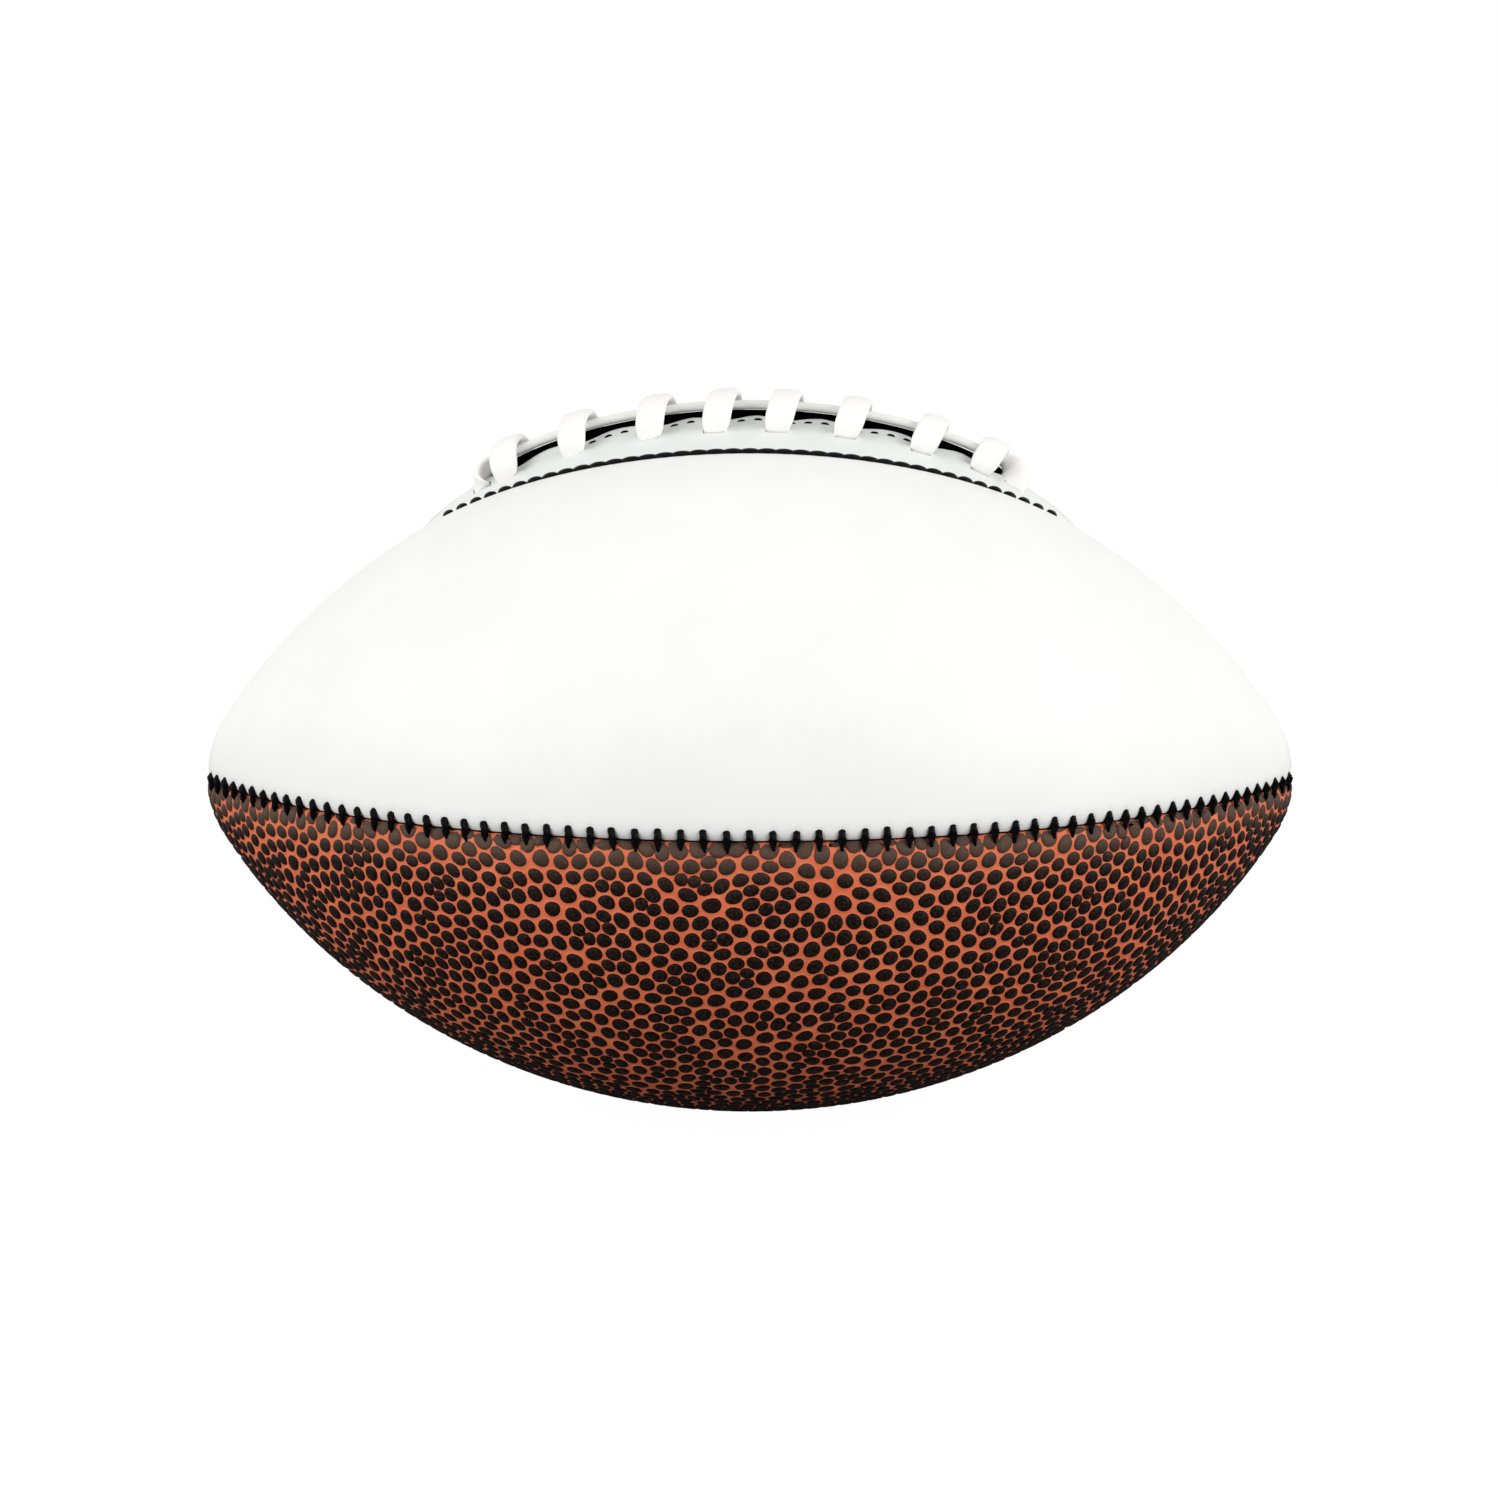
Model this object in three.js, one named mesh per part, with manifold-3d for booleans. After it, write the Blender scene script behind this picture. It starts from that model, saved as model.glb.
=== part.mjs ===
// American football of promotional size: four sewn cover panels with their linings, a raised lacing
// panel with its lace, and an air bladder with its valve. Millimetres. The origin is the middle of
// the ball, X runs along its length, Z points up through the lacing and the front faces -Y.
//
// A point of the ball is given by s, the arc length along a meridian from the middle, by a turn about
// the long axis (0 at the lacing, a quarter turn at the front) and by h, its height over the cover.
import * as THREE from 'three';
import { mergeVertices } from 'three/addons/utils/BufferGeometryUtils.js';
import Module from 'manifold-3d';

const wasm = await Module();
wasm.setup();

// Ball
const BALL_LENGTH = 216;
const BALL_DIAMETER = 133;
const NOSE_RADIUS = 22;
const POLE_OPENING_RADIUS = 1.5;
const CLEARANCE = 0.3;

// Layers of the wall
const COVER_THICKNESS = 1.6;
const LINING_THICKNESS = 0.8;
const BLADDER_SLACK = 1.4;
const BLADDER_WALL = 0.8;

// Seams: a rounded shoulder on each panel, a valley between them and a lip that is turned in
const SHOULDER_WIDTH = 3;
const SHOULDER_BEND = 1.2;
const SHOULDER_BEND_DEPTH = 0.6;
const SHOULDER_ROOM = 1;
const VALLEY_DEPTH = 1.5;
const LIP_THICKNESS = 1.4;
const LIP_ROOT = 0.4;

// Lacing panel: two strips beside the slit, lens-shaped together, raised towards the slit
const STRIP_HALF_WIDTH = 18.5;
const STRIP_TAIL = 14.5;
const STRIP_END_CUT = 2.5;
const STRIP_TAPER = 2;
const STRIP_THICKNESS = 1.3;
const STRIP_SHOULDER_WIDTH = 2;
const STRIP_SHOULDER_BEND = 0.8;
const STRIP_LIFT = 4.5;
const LIFT_TAPER = 4;
const SLIT_HALF_GAP = 1.5;
const SLIT_END_SHARE = 0.25;
const FACING_THICKNESS = 0.6;
const FACING_END_ROOM = 4;
const TONGUE_HALF_WIDTH = 13;
const TONGUE_THICKNESS = 0.7;
const TONGUE_TAIL = 4.5;

// Lace: a flat strap with eight crosses over one lengthwise run
const STRAP_WIDTH = 5.4;
const STRAP_THICKNESS = 1.6;
const STRAP_EDGE = 0.6;
const STRAP_BEND = 1.4;
const CROSS_COUNT = 8;
const CROSS_PITCH = 13.2;
const CROSS_LEAN = 2;
const CROSS_FULLNESS = 2.6;
const CROSS_CROWN = 0.5;
const RUN_GAP = 0.8;
const STRAP_SELF_GAP = 0.5;
const END_HOLE_STEP = 9.3;
const HOLE_ROW_SHARE = 0.53;
const HOLE_CLEARANCE = 0.4;
const STRAP_TAIL = 2.8;
const TURN_RADIUS = 4;

// Sewing thread: stitches across the seams, and a running stitch beside the slit
const STITCH_PITCH = 3.9;
const STITCH_REACH = 2.1;
const STITCH_TOP_DEPTH = 0.12;
const STITCH_BELLY_DEPTH = 0.8;
const THREAD_HALF_WIDTH = 0.3;
const THREAD_TOP_DEPTH = 0.55;
const THREAD_BOTTOM_DEPTH = 0.95;
const THREAD_POLE_ROOM = 8;
const STRIP_STITCH_PITCH = 3.2;
const STRIP_STITCH_REACH = 1.3;
const STRIP_STITCH_TOP = 0;
const SLIT_STITCH_INSET = 2;
const SLIT_STITCH_HALF_WIDTH = 0.35;
const SLIT_STITCH_HEIGHT = 0.45;
const SLIT_THREAD_HALF_WIDTH = 0.15;
const SLIT_THREAD_HEIGHT = 0.25;
const SLIT_THREAD_LIFT = 0.15;

// Valve, in the middle of the rear lower panel
const VALVE_TURN = THREE.MathUtils.degToRad(225);
const VALVE_RADIUS = 5;
const VALVE_SINK = 0.8;
const VALVE_FLANGE_RADIUS = 7.5;
const VALVE_FLANGE_THICKNESS = 1.2;
const VALVE_SOCKET_RADIUS = 2.6;
const VALVE_FLOOR = 1;
const VALVE_AIR_RADIUS = 1.2;
const CORE_SINK = 0.3;
const NEEDLE_RADIUS = 0.5;
const NEEDLE_DEPTH = 3;

// Facets
const PANEL_FACETS = 5;
const STRIP_FACETS = 4;
const STRIP_STEPS = 10;
const FLANK_STEPS = 4;
const NOSE_STEPS = 3;
const BLADDER_FACETS = 20;
const TONGUE_FACETS = 4;
const TONGUE_STEPS = 12;
const CROSS_STEPS = 8;
const ROUND_FACETS = 16;
const SLOT_END_FACETS = 1;
const GAP_SAMPLES_ACROSS = 7;
const GAP_NEIGHBOURHOOD = 9;

// Places that follow from the sizes above
const quarter = Math.PI / 2;
const halfLength = BALL_LENGTH / 2;
const belly = BALL_DIAMETER / 2;
const noseCentre = halfLength - NOSE_RADIUS;
const flankRadius = (noseCentre ** 2 + belly ** 2 - NOSE_RADIUS ** 2) / (2 * (belly - NOSE_RADIUS));
const noseAngle = Math.atan2(noseCentre, flankRadius - belly);
const noseStart = flankRadius * noseAngle;
const coverEnd = noseStart + NOSE_RADIUS * (Math.acos(POLE_OPENING_RADIUS / NOSE_RADIUS) - noseAngle);
const threadEnd = coverEnd - THREAD_POLE_ROOM;
const lastCross = (CROSS_PITCH * (CROSS_COUNT - 1)) / 2;
const endHole = lastCross + END_HOLE_STEP;
const stripHalfLength = endHole + STRIP_TAIL;
const stripEnd = stripHalfLength - STRIP_END_CUT;
const tongueEnd = endHole + TONGUE_TAIL;

// A point of the meridian: its place along the axis, its radius and the slope of its normal
function meridian(s) {
  const side = Math.sign(s);
  const along = Math.abs(s);
  if (along < noseStart) {
    const slope = along / flankRadius;
    const radius = belly - flankRadius * (1 - Math.cos(slope));
    return { x: side * flankRadius * Math.sin(slope), radius, slope: side * slope };
  }
  const slope = noseAngle + (along - noseStart) / NOSE_RADIUS;
  const x = noseCentre + NOSE_RADIUS * Math.sin(slope);
  return { x: side * x, radius: NOSE_RADIUS * Math.cos(slope), slope: side * slope };
}

function place(s, turn, h) {
  const { x, radius, slope } = meridian(s);
  const reach = radius + h * Math.cos(slope);
  return new THREE.Vector3(x + h * Math.sin(slope), -reach * Math.sin(turn), reach * Math.cos(turn));
}

// The same point with t, its arc distance from the slit towards the front, in place of the turn
function placeAcross(s, t, h) {
  return place(s, t / meridian(s).radius, h);
}

// Half the width of the lacing panel, half the slit, and the height of a strip over the ball
function stripEdge(s) {
  return STRIP_HALF_WIDTH * Math.max(0, 1 - (Math.abs(s) / stripHalfLength) ** STRIP_TAPER);
}

function slitEdge(s) {
  return Math.min(SLIT_HALF_GAP, stripEdge(s) * SLIT_END_SHARE);
}

function slitLift(s) {
  return STRIP_LIFT * Math.max(0, 1 - (Math.abs(s) / stripHalfLength) ** LIFT_TAPER);
}

function stripLift(s, t) {
  return (slitLift(s) * (stripEdge(s) - t)) / (stripEdge(s) - slitEdge(s));
}

function holeRow(s) {
  return slitEdge(s) + (stripEdge(s) - slitEdge(s)) * HOLE_ROW_SHARE;
}

// Depths of the inner layers: the lace runs back under the facings, over the tongue and the bladder
const facingDrop = STRIP_THICKNESS + CLEARANCE + FACING_THICKNESS;
const underHeight = stripLift(lastCross, holeRow(lastCross)) - facingDrop - CLEARANCE - STRAP_THICKNESS / 2;
const tongueTop = underHeight - STRAP_THICKNESS / 2 - CLEARANCE;
const liningTop = -COVER_THICKNESS - CLEARANCE;
const liningBottom = liningTop - LINING_THICKNESS;
const bladderTop = Math.min(liningBottom - BLADDER_SLACK, tongueTop - TONGUE_THICKNESS - 2 * CLEARANCE);
const lipBottom = bladderTop + CLEARANCE;
const lipRoot = CLEARANCE / 2 + LIP_THICKNESS + LIP_ROOT;

function evenSteps(from, to, count) {
  return Array.from({ length: count + 1 }, (_, i) => from + ((to - from) * i) / count);
}

const halfStations = [
  stripHalfLength,
  ...evenSteps(stripHalfLength, noseStart, FLANK_STEPS).slice(1),
  ...evenSteps(noseStart, coverEnd, NOSE_STEPS).slice(1),
];
const stripStations = evenSteps(-stripEnd, stripEnd, STRIP_STEPS);
const coverStations = [...halfStations.map((s) => -s).reverse(), ...stripStations, ...halfStations];
const liningStations = coverStations.filter((s) => Math.abs(s) <= noseStart + CLEARANCE);
const facingStations = stripStations.filter((s) => stripEdge(s) - slitEdge(s) > FACING_END_ROOM);
const middle = (coverStations.length - 1) / 2;
const bladderStations = coverStations.filter((s, i) => (i - middle) % 2 === 0);

// A closed body through rings of points. Each end is closed by a strip across its ring. The second
// half of a ring has its diagonals the other way, so that the two skins of a shell match.
function ringBody(rings) {
  const size = rings[0].length;
  const points = rings.flat();
  const faces = [];
  for (let k = 0; k + 1 < rings.length; k += 1) {
    for (let i = 0; i < size; i += 1) {
      const a = k * size + i;
      const b = k * size + ((i + 1) % size);
      const [c, d] = [a + size, b + size];
      faces.push(...(i < size / 2 ? [a, b, d, a, d, c] : [a, b, c, b, d, c]));
    }
  }
  const last = (rings.length - 1) * size;
  for (let i = 0, j = size - 1; i < j; i += 1, j -= 1) {
    addCapStep(faces, 0, i, j, true);
    addCapStep(faces, last, i, j, false);
  }
  return bodyFrom(points, faces);
}

function addCapStep(faces, base, i, j, turned) {
  const corners = [i, i + 1, j - 1, j].filter((corner, k, all) => all.indexOf(corner) === k);
  const order = turned ? corners.reverse() : corners;
  for (let k = 1; k + 1 < order.length; k += 1) {
    faces.push(base + order[0], base + order[k], base + order[k + 1]);
  }
}

function bodyFrom(points, faces) {
  let volume = 0;
  for (let i = 0; i < faces.length; i += 3) {
    const [a, b, c] = [points[faces[i]], points[faces[i + 1]], points[faces[i + 2]]];
    volume += a.dot(b.clone().cross(c));
  }
  const geometry = new THREE.BufferGeometry().setFromPoints(points);
  geometry.setIndex(volume < 0 ? faces.reverse() : faces);
  return geometry;
}

// A thin shell: each station gives its outer and inner points in the same order across
function shellBody(rows) {
  return ringBody(rows.map(({ outer, inner }) => [...outer, ...inner.reverse()]));
}

function solidOf(geometry) {
  const bare = geometry.clone();
  bare.deleteAttribute('normal');
  bare.deleteAttribute('uv');
  const merged = mergeVertices(bare);
  const vertProperties = new Float32Array(merged.attributes.position.array);
  const triVerts = new Uint32Array(merged.index.array);
  return new wasm.Manifold(new wasm.Mesh({ numProp: 3, vertProperties, triVerts }));
}

function cut(geometry, tools) {
  const solid = tools.reduce((rest, tool) => rest.subtract(solidOf(tool)), solidOf(geometry));
  const mesh = solid.getMesh();
  const result = new THREE.BufferGeometry();
  result.setAttribute('position', new THREE.BufferAttribute(mesh.vertProperties, 3));
  result.setIndex(new THREE.BufferAttribute(mesh.triVerts, 1));
  return result;
}

// Cover panels and linings, between two seams given as turns along the ball
const FRONT_SEAM = () => quarter;
const BOTTOM_SEAM = () => 2 * quarter;
const REAR_SEAM = () => 3 * quarter;
const FRONT_STRIP_SEAM = (s) => stripEdge(s) / meridian(s).radius;
const REAR_STRIP_SEAM = (s) => 4 * quarter - stripEdge(s) / meridian(s).radius;

const shoulder = [
  { out: CLEARANCE / 2, outer: -VALLEY_DEPTH, in: CLEARANCE / 2, inner: lipBottom },
  { out: SHOULDER_BEND, outer: -SHOULDER_BEND_DEPTH, in: CLEARANCE / 2 + LIP_THICKNESS, inner: lipBottom },
  { out: SHOULDER_WIDTH, outer: 0, in: lipRoot, inner: -COVER_THICKNESS },
];

// How far a panel's seam edges are drawn together where the panel narrows at the poles
function squeezeAt(s, width) {
  return Math.min(1, width / (2 * (SHOULDER_WIDTH + SHOULDER_ROOM))) / meridian(s).radius;
}

function panelRow(s, fromSeam, toSeam) {
  const [from, to] = [fromSeam(s), toSeam(s)];
  const squeeze = squeezeAt(s, (to - from) * meridian(s).radius);
  const edges = shoulder.slice(0, -1);
  const crown = shoulder.at(-1);
  const outer = edges.map((edge) => place(s, from + edge.out * squeeze, edge.outer));
  const inner = edges.map((edge) => place(s, from + edge.in * squeeze, edge.inner));
  for (const share of evenSteps(0, 1, PANEL_FACETS)) {
    const out = (1 - share) * (from + crown.out * squeeze) + share * (to - crown.out * squeeze);
    const under = (1 - share) * (from + crown.in * squeeze) + share * (to - crown.in * squeeze);
    outer.push(place(s, out, crown.outer));
    inner.push(place(s, under, crown.inner));
  }
  for (const edge of edges.toReversed()) {
    outer.push(place(s, to - edge.out * squeeze, edge.outer));
    inner.push(place(s, to - edge.in * squeeze, edge.inner));
  }
  return { outer, inner };
}

function liningRow(s, fromSeam, toSeam) {
  const [from, to] = [fromSeam(s), toSeam(s)];
  const squeeze = squeezeAt(s, (to - from) * meridian(s).radius);
  const turns = evenSteps(from + lipRoot * squeeze, to - lipRoot * squeeze, PANEL_FACETS);
  turns[0] += CLEARANCE / meridian(s).radius;
  turns[PANEL_FACETS] -= CLEARANCE / meridian(s).radius;
  const outer = turns.map((turn) => place(s, turn, liningTop));
  const inner = turns.map((turn) => place(s, turn, liningBottom));
  return { outer, inner };
}

function panelBody(fromSeam, toSeam) {
  return shellBody(coverStations.map((s) => panelRow(s, fromSeam, toSeam)));
}

function liningBody(fromSeam, toSeam) {
  return shellBody(liningStations.map((s) => liningRow(s, fromSeam, toSeam)));
}

// Lacing strips and their facings. The side is 1 at the front of the slit and -1 behind it.
const stripShoulder = [
  { out: CLEARANCE / 2, outer: -VALLEY_DEPTH, in: CLEARANCE / 2 },
  { out: STRIP_SHOULDER_BEND, outer: -SHOULDER_BEND_DEPTH, in: CLEARANCE / 2 + LIP_THICKNESS },
];

function stripColumns(s, edgeInset) {
  const room = stripEdge(s) - slitEdge(s);
  const squeeze = Math.min(1, room / (STRIP_SHOULDER_WIDTH + SHOULDER_WIDTH));
  return { squeeze, columns: evenSteps(stripEdge(s) - edgeInset * squeeze, slitEdge(s), STRIP_FACETS) };
}

function stripRow(s, side) {
  const { squeeze, columns } = stripColumns(s, STRIP_SHOULDER_WIDTH);
  const outer = [];
  const inner = [];
  for (const edge of stripShoulder) {
    outer.push(placeAcross(s, side * (stripEdge(s) - edge.out * squeeze), edge.outer));
    inner.push(placeAcross(s, side * (stripEdge(s) - edge.in * squeeze), lipBottom));
  }
  for (const t of columns) {
    outer.push(placeAcross(s, side * t, stripLift(s, t)));
    inner.push(placeAcross(s, side * t, stripLift(s, t) - STRIP_THICKNESS));
  }
  return { outer, inner };
}

function facingRow(s, side) {
  const { columns } = stripColumns(s, STRIP_SHOULDER_WIDTH + CLEARANCE);
  const top = STRIP_THICKNESS + CLEARANCE;
  const outer = columns.map((t) => placeAcross(s, side * t, stripLift(s, t) - top));
  const inner = columns.map((t) => placeAcross(s, side * t, stripLift(s, t) - facingDrop));
  return { outer, inner };
}

// The holes of the lace: a slot for each end of a cross, and one across the slit at each end
const crosses = evenSteps(-lastCross, lastCross, CROSS_COUNT - 1);
const holeDepth = 4 * (STRIP_LIFT + STRIP_THICKNESS);

const slotLength = STRAP_WIDTH + 2 * HOLE_CLEARANCE;
const slotWidth = STRAP_THICKNESS + 2 * HOLE_CLEARANCE;

function slotTool(s, t, heading) {
  const end = slotWidth / 2;
  const straight = slotLength / 2 - end;
  const outline = new THREE.Shape();
  outline.absarc(straight, 0, end, -quarter, quarter);
  outline.absarc(-straight, 0, end, quarter, 3 * quarter);
  const options = { depth: holeDepth, bevelEnabled: false, curveSegments: SLOT_END_FACETS };
  const tool = new THREE.ExtrudeGeometry(outline, options);
  tool.translate(0, 0, -holeDepth / 2);
  return tool.rotateZ(heading).applyMatrix4(surfaceFrame(s, t));
}

// The frame of the cover at a point: X along the meridian, Y across towards the rear, Z outwards
function surfaceFrame(s, t) {
  const origin = placeAcross(s, t, 0);
  const outwards = placeAcross(s, t, 1).sub(origin);
  const turn = t / meridian(s).radius;
  const towardsRear = new THREE.Vector3(0, Math.cos(turn), Math.sin(turn));
  const along = towardsRear.clone().cross(outwards);
  return new THREE.Matrix4().makeBasis(along, towardsRear, outwards).setPosition(origin);
}

function laceTools(side) {
  const slots = crosses.map((s) => slotTool(s - side * CROSS_LEAN, side * holeRow(s), 0));
  const notches = [-endHole, endHole].map((s) => slotTool(s, 0, quarter));
  return [...slots, ...notches];
}

function stripBody(side) {
  return cut(shellBody(stripStations.map((s) => stripRow(s, side))), laceTools(side));
}

function facingBody(side) {
  return cut(shellBody(facingStations.map((s) => facingRow(s, side))), laceTools(side));
}

function tongueRow(s) {
  const half = Math.min(TONGUE_HALF_WIDTH, stripEdge(s) - lipRoot - CLEARANCE);
  const columns = evenSteps(-half, half, TONGUE_FACETS);
  const outer = columns.map((t) => placeAcross(s, t, tongueTop));
  const inner = columns.map((t) => placeAcross(s, t, tongueTop - TONGUE_THICKNESS));
  return { outer, inner };
}

function tongueBody() {
  return shellBody(evenSteps(-tongueEnd, tongueEnd, TONGUE_STEPS).map(tongueRow));
}

// Lace: the route is a list of points with s, t, h and the strap's heading across the cover, the
// direction of its width. A quarter turn is across the slit, and half a turn is along the ball.
const runHeight = (s) => slitLift(s) + RUN_GAP + STRAP_THICKNESS / 2;
const crossHeight = (s) => runHeight(s) + STRAP_THICKNESS + STRAP_SELF_GAP + CROSS_CROWN;

function laceRoute() {
  const route = [...endTurn(1).reverse(), ...laceRun(), ...endTurn(-1), ...firstTurn()];
  crosses.forEach((s, i) => {
    route.push(...laceCross(s));
    if (i + 1 < crosses.length) route.push(underRun(s, crosses[i + 1]));
  });
  return route;
}

// The strap turns down at an end of the slit and comes back under it
function endTurn(side) {
  const bend = STRAP_BEND * Math.SQRT1_2;
  const top = runHeight(endHole);
  const steps = [
    [STRAP_BEND, top],
    [STRAP_BEND - bend, top - STRAP_BEND + bend],
    [0, top - STRAP_BEND],
    [0, underHeight + STRAP_BEND],
    [STRAP_BEND - bend, underHeight + STRAP_BEND - bend],
    [STRAP_BEND, underHeight],
    [STRAP_TAIL, underHeight],
  ];
  return steps.map(([inset, h]) => ({ s: side * (endHole - inset), t: 0, h, heading: quarter }));
}

function laceRun() {
  const stops = evenSteps(lastCross, -lastCross, 2 * (CROSS_COUNT - 1));
  return stops.map((s) => ({ s, t: 0, h: runHeight(s), heading: quarter }));
}

// Under the left end the strap turns from along the ball to across it, towards the first hole
function firstTurn() {
  const centre = crosses[0] - CROSS_LEAN - TURN_RADIUS;
  return [0, quarter / 2, quarter].map((turn) => ({
    s: centre + TURN_RADIUS * Math.sin(turn),
    t: TURN_RADIUS * (1 - Math.cos(turn)),
    h: underHeight,
    heading: quarter + turn,
  }));
}

function laceCross(s) {
  const row = holeRow(s);
  const base = stripLift(s, row);
  const bend = STRAP_BEND * Math.SQRT1_2;
  const leg = [
    [row - STRAP_BEND, underHeight],
    [row - STRAP_BEND + bend, underHeight + STRAP_BEND - bend],
    [row, underHeight + STRAP_BEND],
  ];
  const power = 2 / CROSS_FULLNESS;
  const arch = evenSteps(0, Math.PI, CROSS_STEPS).map((angle) => {
    const t = row * Math.sign(Math.cos(angle)) * Math.abs(Math.cos(angle)) ** power;
    return [t, base + (crossHeight(s) - base) * Math.sin(angle) ** power];
  });
  const farLeg = leg.map(([t, h]) => [-t, h]).reverse();
  const lean = (t) => -CROSS_LEAN * THREE.MathUtils.clamp(t / row, -1, 1);
  const nearSide = leg.map(([t, h]) => ({ s: s - CROSS_LEAN, t, h, heading: Math.PI }));
  const over = arch.map(([t, h]) => ({ s: s + lean(t), t, h, heading: Math.PI }));
  const farSide = farLeg.map(([t, h]) => ({ s: s + CROSS_LEAN, t, h, heading: Math.PI }));
  return [...nearSide, ...over, ...farSide];
}

// Halfway under the slit, from the far hole of one cross to the near hole of the next
function underRun(s, next) {
  const ahead = next - s - 2 * CROSS_LEAN;
  const heading = Math.atan2(holeRow(s) + holeRow(next), ahead) + quarter;
  return { s: (s + next) / 2, t: (holeRow(next) - holeRow(s)) / 2, h: underHeight, heading };
}

function laceFrames() {
  const route = laceRoute();
  const centres = route.map(({ s, t, h }) => placeAcross(s, t, h));
  return route.map(({ s, t, heading }, i) => {
    const before = centres[Math.max(0, i - 1)];
    const after = centres[Math.min(centres.length - 1, i + 1)];
    const ahead = after.clone().sub(before).normalize();
    const width = new THREE.Vector3(Math.cos(heading), -Math.sin(heading), 0);
    width.transformDirection(surfaceFrame(s, t));
    width.addScaledVector(ahead, -width.dot(ahead)).normalize();
    return { centre: centres[i], width, thick: ahead.cross(width) };
  });
}

function laceBody() {
  const flat = STRAP_WIDTH / 2 - STRAP_EDGE;
  const half = STRAP_THICKNESS / 2;
  const edge = STRAP_WIDTH / 2;
  const section = [[flat, half], [-flat, half], [-edge, 0], [-flat, -half], [flat, -half], [edge, 0]];
  const frames = laceFrames();
  reportSelfGap(frames);
  return ringBody(frames.map(({ centre, width, thick }) => section.map(([across, up]) => (
    centre.clone().addScaledVector(width, across).addScaledVector(thick, up)
  ))));
}

// The strap's least gap to itself, measured between points of its middle sheet
function reportSelfGap(frames) {
  const samples = [];
  let travelled = 0;
  for (let i = 0; i + 1 < frames.length; i += 1) {
    const [here, next] = [frames[i], frames[i + 1]];
    const length = here.centre.distanceTo(next.centre);
    for (const share of evenSteps(0, 1, Math.max(1, Math.round(length)))) {
      const centre = here.centre.clone().lerp(next.centre, share);
      const width = here.width.clone().lerp(next.width, share).normalize();
      for (const across of evenSteps(-STRAP_WIDTH / 2, STRAP_WIDTH / 2, GAP_SAMPLES_ACROSS)) {
        const point = centre.clone().addScaledVector(width, across);
        samples.push({ point, along: travelled + share * length });
      }
    }
    travelled += length;
  }
  let least = Infinity;
  for (let i = 0; i < samples.length; i += 1) {
    for (let j = i + 1; j < samples.length; j += 1) {
      if (samples[j].along - samples[i].along > GAP_NEIGHBOURHOOD) {
        least = Math.min(least, samples[i].point.distanceToSquared(samples[j].point));
      }
    }
  }
  console.log(`lace: least gap to itself ${(Math.sqrt(least) - STRAP_THICKNESS).toFixed(2)} mm`);
}

// Thread: a fine line in the valley that widens to a stitch at each step. The seam gives its turn.
function seamThread(from, to, seamTurn, stitch) {
  const count = Math.round((to - from) / stitch.pitch);
  const stops = evenSteps(from, to, 2 * count);
  return ringBody(stops.map((s, i) => {
    const wide = i % 2 === 1;
    const half = (wide ? stitch.reach : THREAD_HALF_WIDTH) / meridian(s).radius;
    const top = wide ? stitch.top : -THREAD_TOP_DEPTH;
    const bottom = wide ? -STITCH_BELLY_DEPTH : -THREAD_BOTTOM_DEPTH;
    const turn = seamTurn(s);
    return [place(s, turn - half, top), place(s, turn + half, top), place(s, turn, bottom)];
  }));
}

const coverStitch = { pitch: STITCH_PITCH, reach: STITCH_REACH, top: -STITCH_TOP_DEPTH };
const stripStitch = { pitch: STRIP_STITCH_PITCH, reach: STRIP_STITCH_REACH, top: STRIP_STITCH_TOP };
const topThreadStart = stripHalfLength + STITCH_PITCH / 2;

function slitThread(side) {
  const count = Math.round((2 * lastCross) / STRIP_STITCH_PITCH);
  return ringBody(evenSteps(-lastCross, lastCross, 2 * count).map((s, i) => {
    const half = i % 2 === 1 ? SLIT_STITCH_HALF_WIDTH : SLIT_THREAD_HALF_WIDTH;
    const height = i % 2 === 1 ? SLIT_STITCH_HEIGHT : SLIT_THREAD_HEIGHT;
    const t = slitEdge(s) + SLIT_STITCH_INSET;
    const ground = stripLift(s, t) + SLIT_THREAD_LIFT;
    const foot = (offset) => placeAcross(s, side * (t + offset), ground);
    return [foot(-half), foot(half), placeAcross(s, side * t, ground + height)];
  }));
}

// Bladder and valve
const valveAxis = place(0, VALVE_TURN, 1).sub(place(0, VALVE_TURN, 0));
const valvePose = new THREE.Quaternion().setFromUnitVectors(new THREE.Vector3(0, 1, 0), valveAxis);
const bladderFloor = belly + bladderTop - BLADDER_WALL;
const bladderStep = coverStations[middle + 2];
const facetSlope = Math.hypot(Math.tan(Math.PI / BLADDER_FACETS), Math.tan(bladderStep / 2 / flankRadius));
const facetDrop = VALVE_FLANGE_RADIUS * facetSlope;
const flangeTop = bladderFloor - facetDrop - CLEARANCE;
const flangeBottom = flangeTop - VALVE_FLANGE_THICKNESS;
const valveTop = belly - VALVE_SINK;
const socketFloor = flangeBottom + VALVE_FLOOR;

function portTool() {
  const length = 2 * (belly - flangeBottom);
  const radius = VALVE_RADIUS + CLEARANCE;
  const tool = new THREE.CylinderGeometry(radius, radius, length, ROUND_FACETS);
  tool.translate(0, belly, 0);
  return tool.applyQuaternion(valvePose);
}

function bladderSkin(h) {
  const rings = bladderStations.map((s) => (
    evenSteps(0, 4 * quarter, BLADDER_FACETS).slice(1).map((turn) => place(s, turn, h))
  ));
  return ringBody(rings);
}

function bladderBody() {
  return cut(bladderSkin(bladderTop), [bladderSkin(bladderTop - BLADDER_WALL), portTool()]);
}

function latheBody(profile) {
  return new THREE.LatheGeometry(profile.map(([x, y]) => new THREE.Vector2(x, y)), ROUND_FACETS);
}

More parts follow.
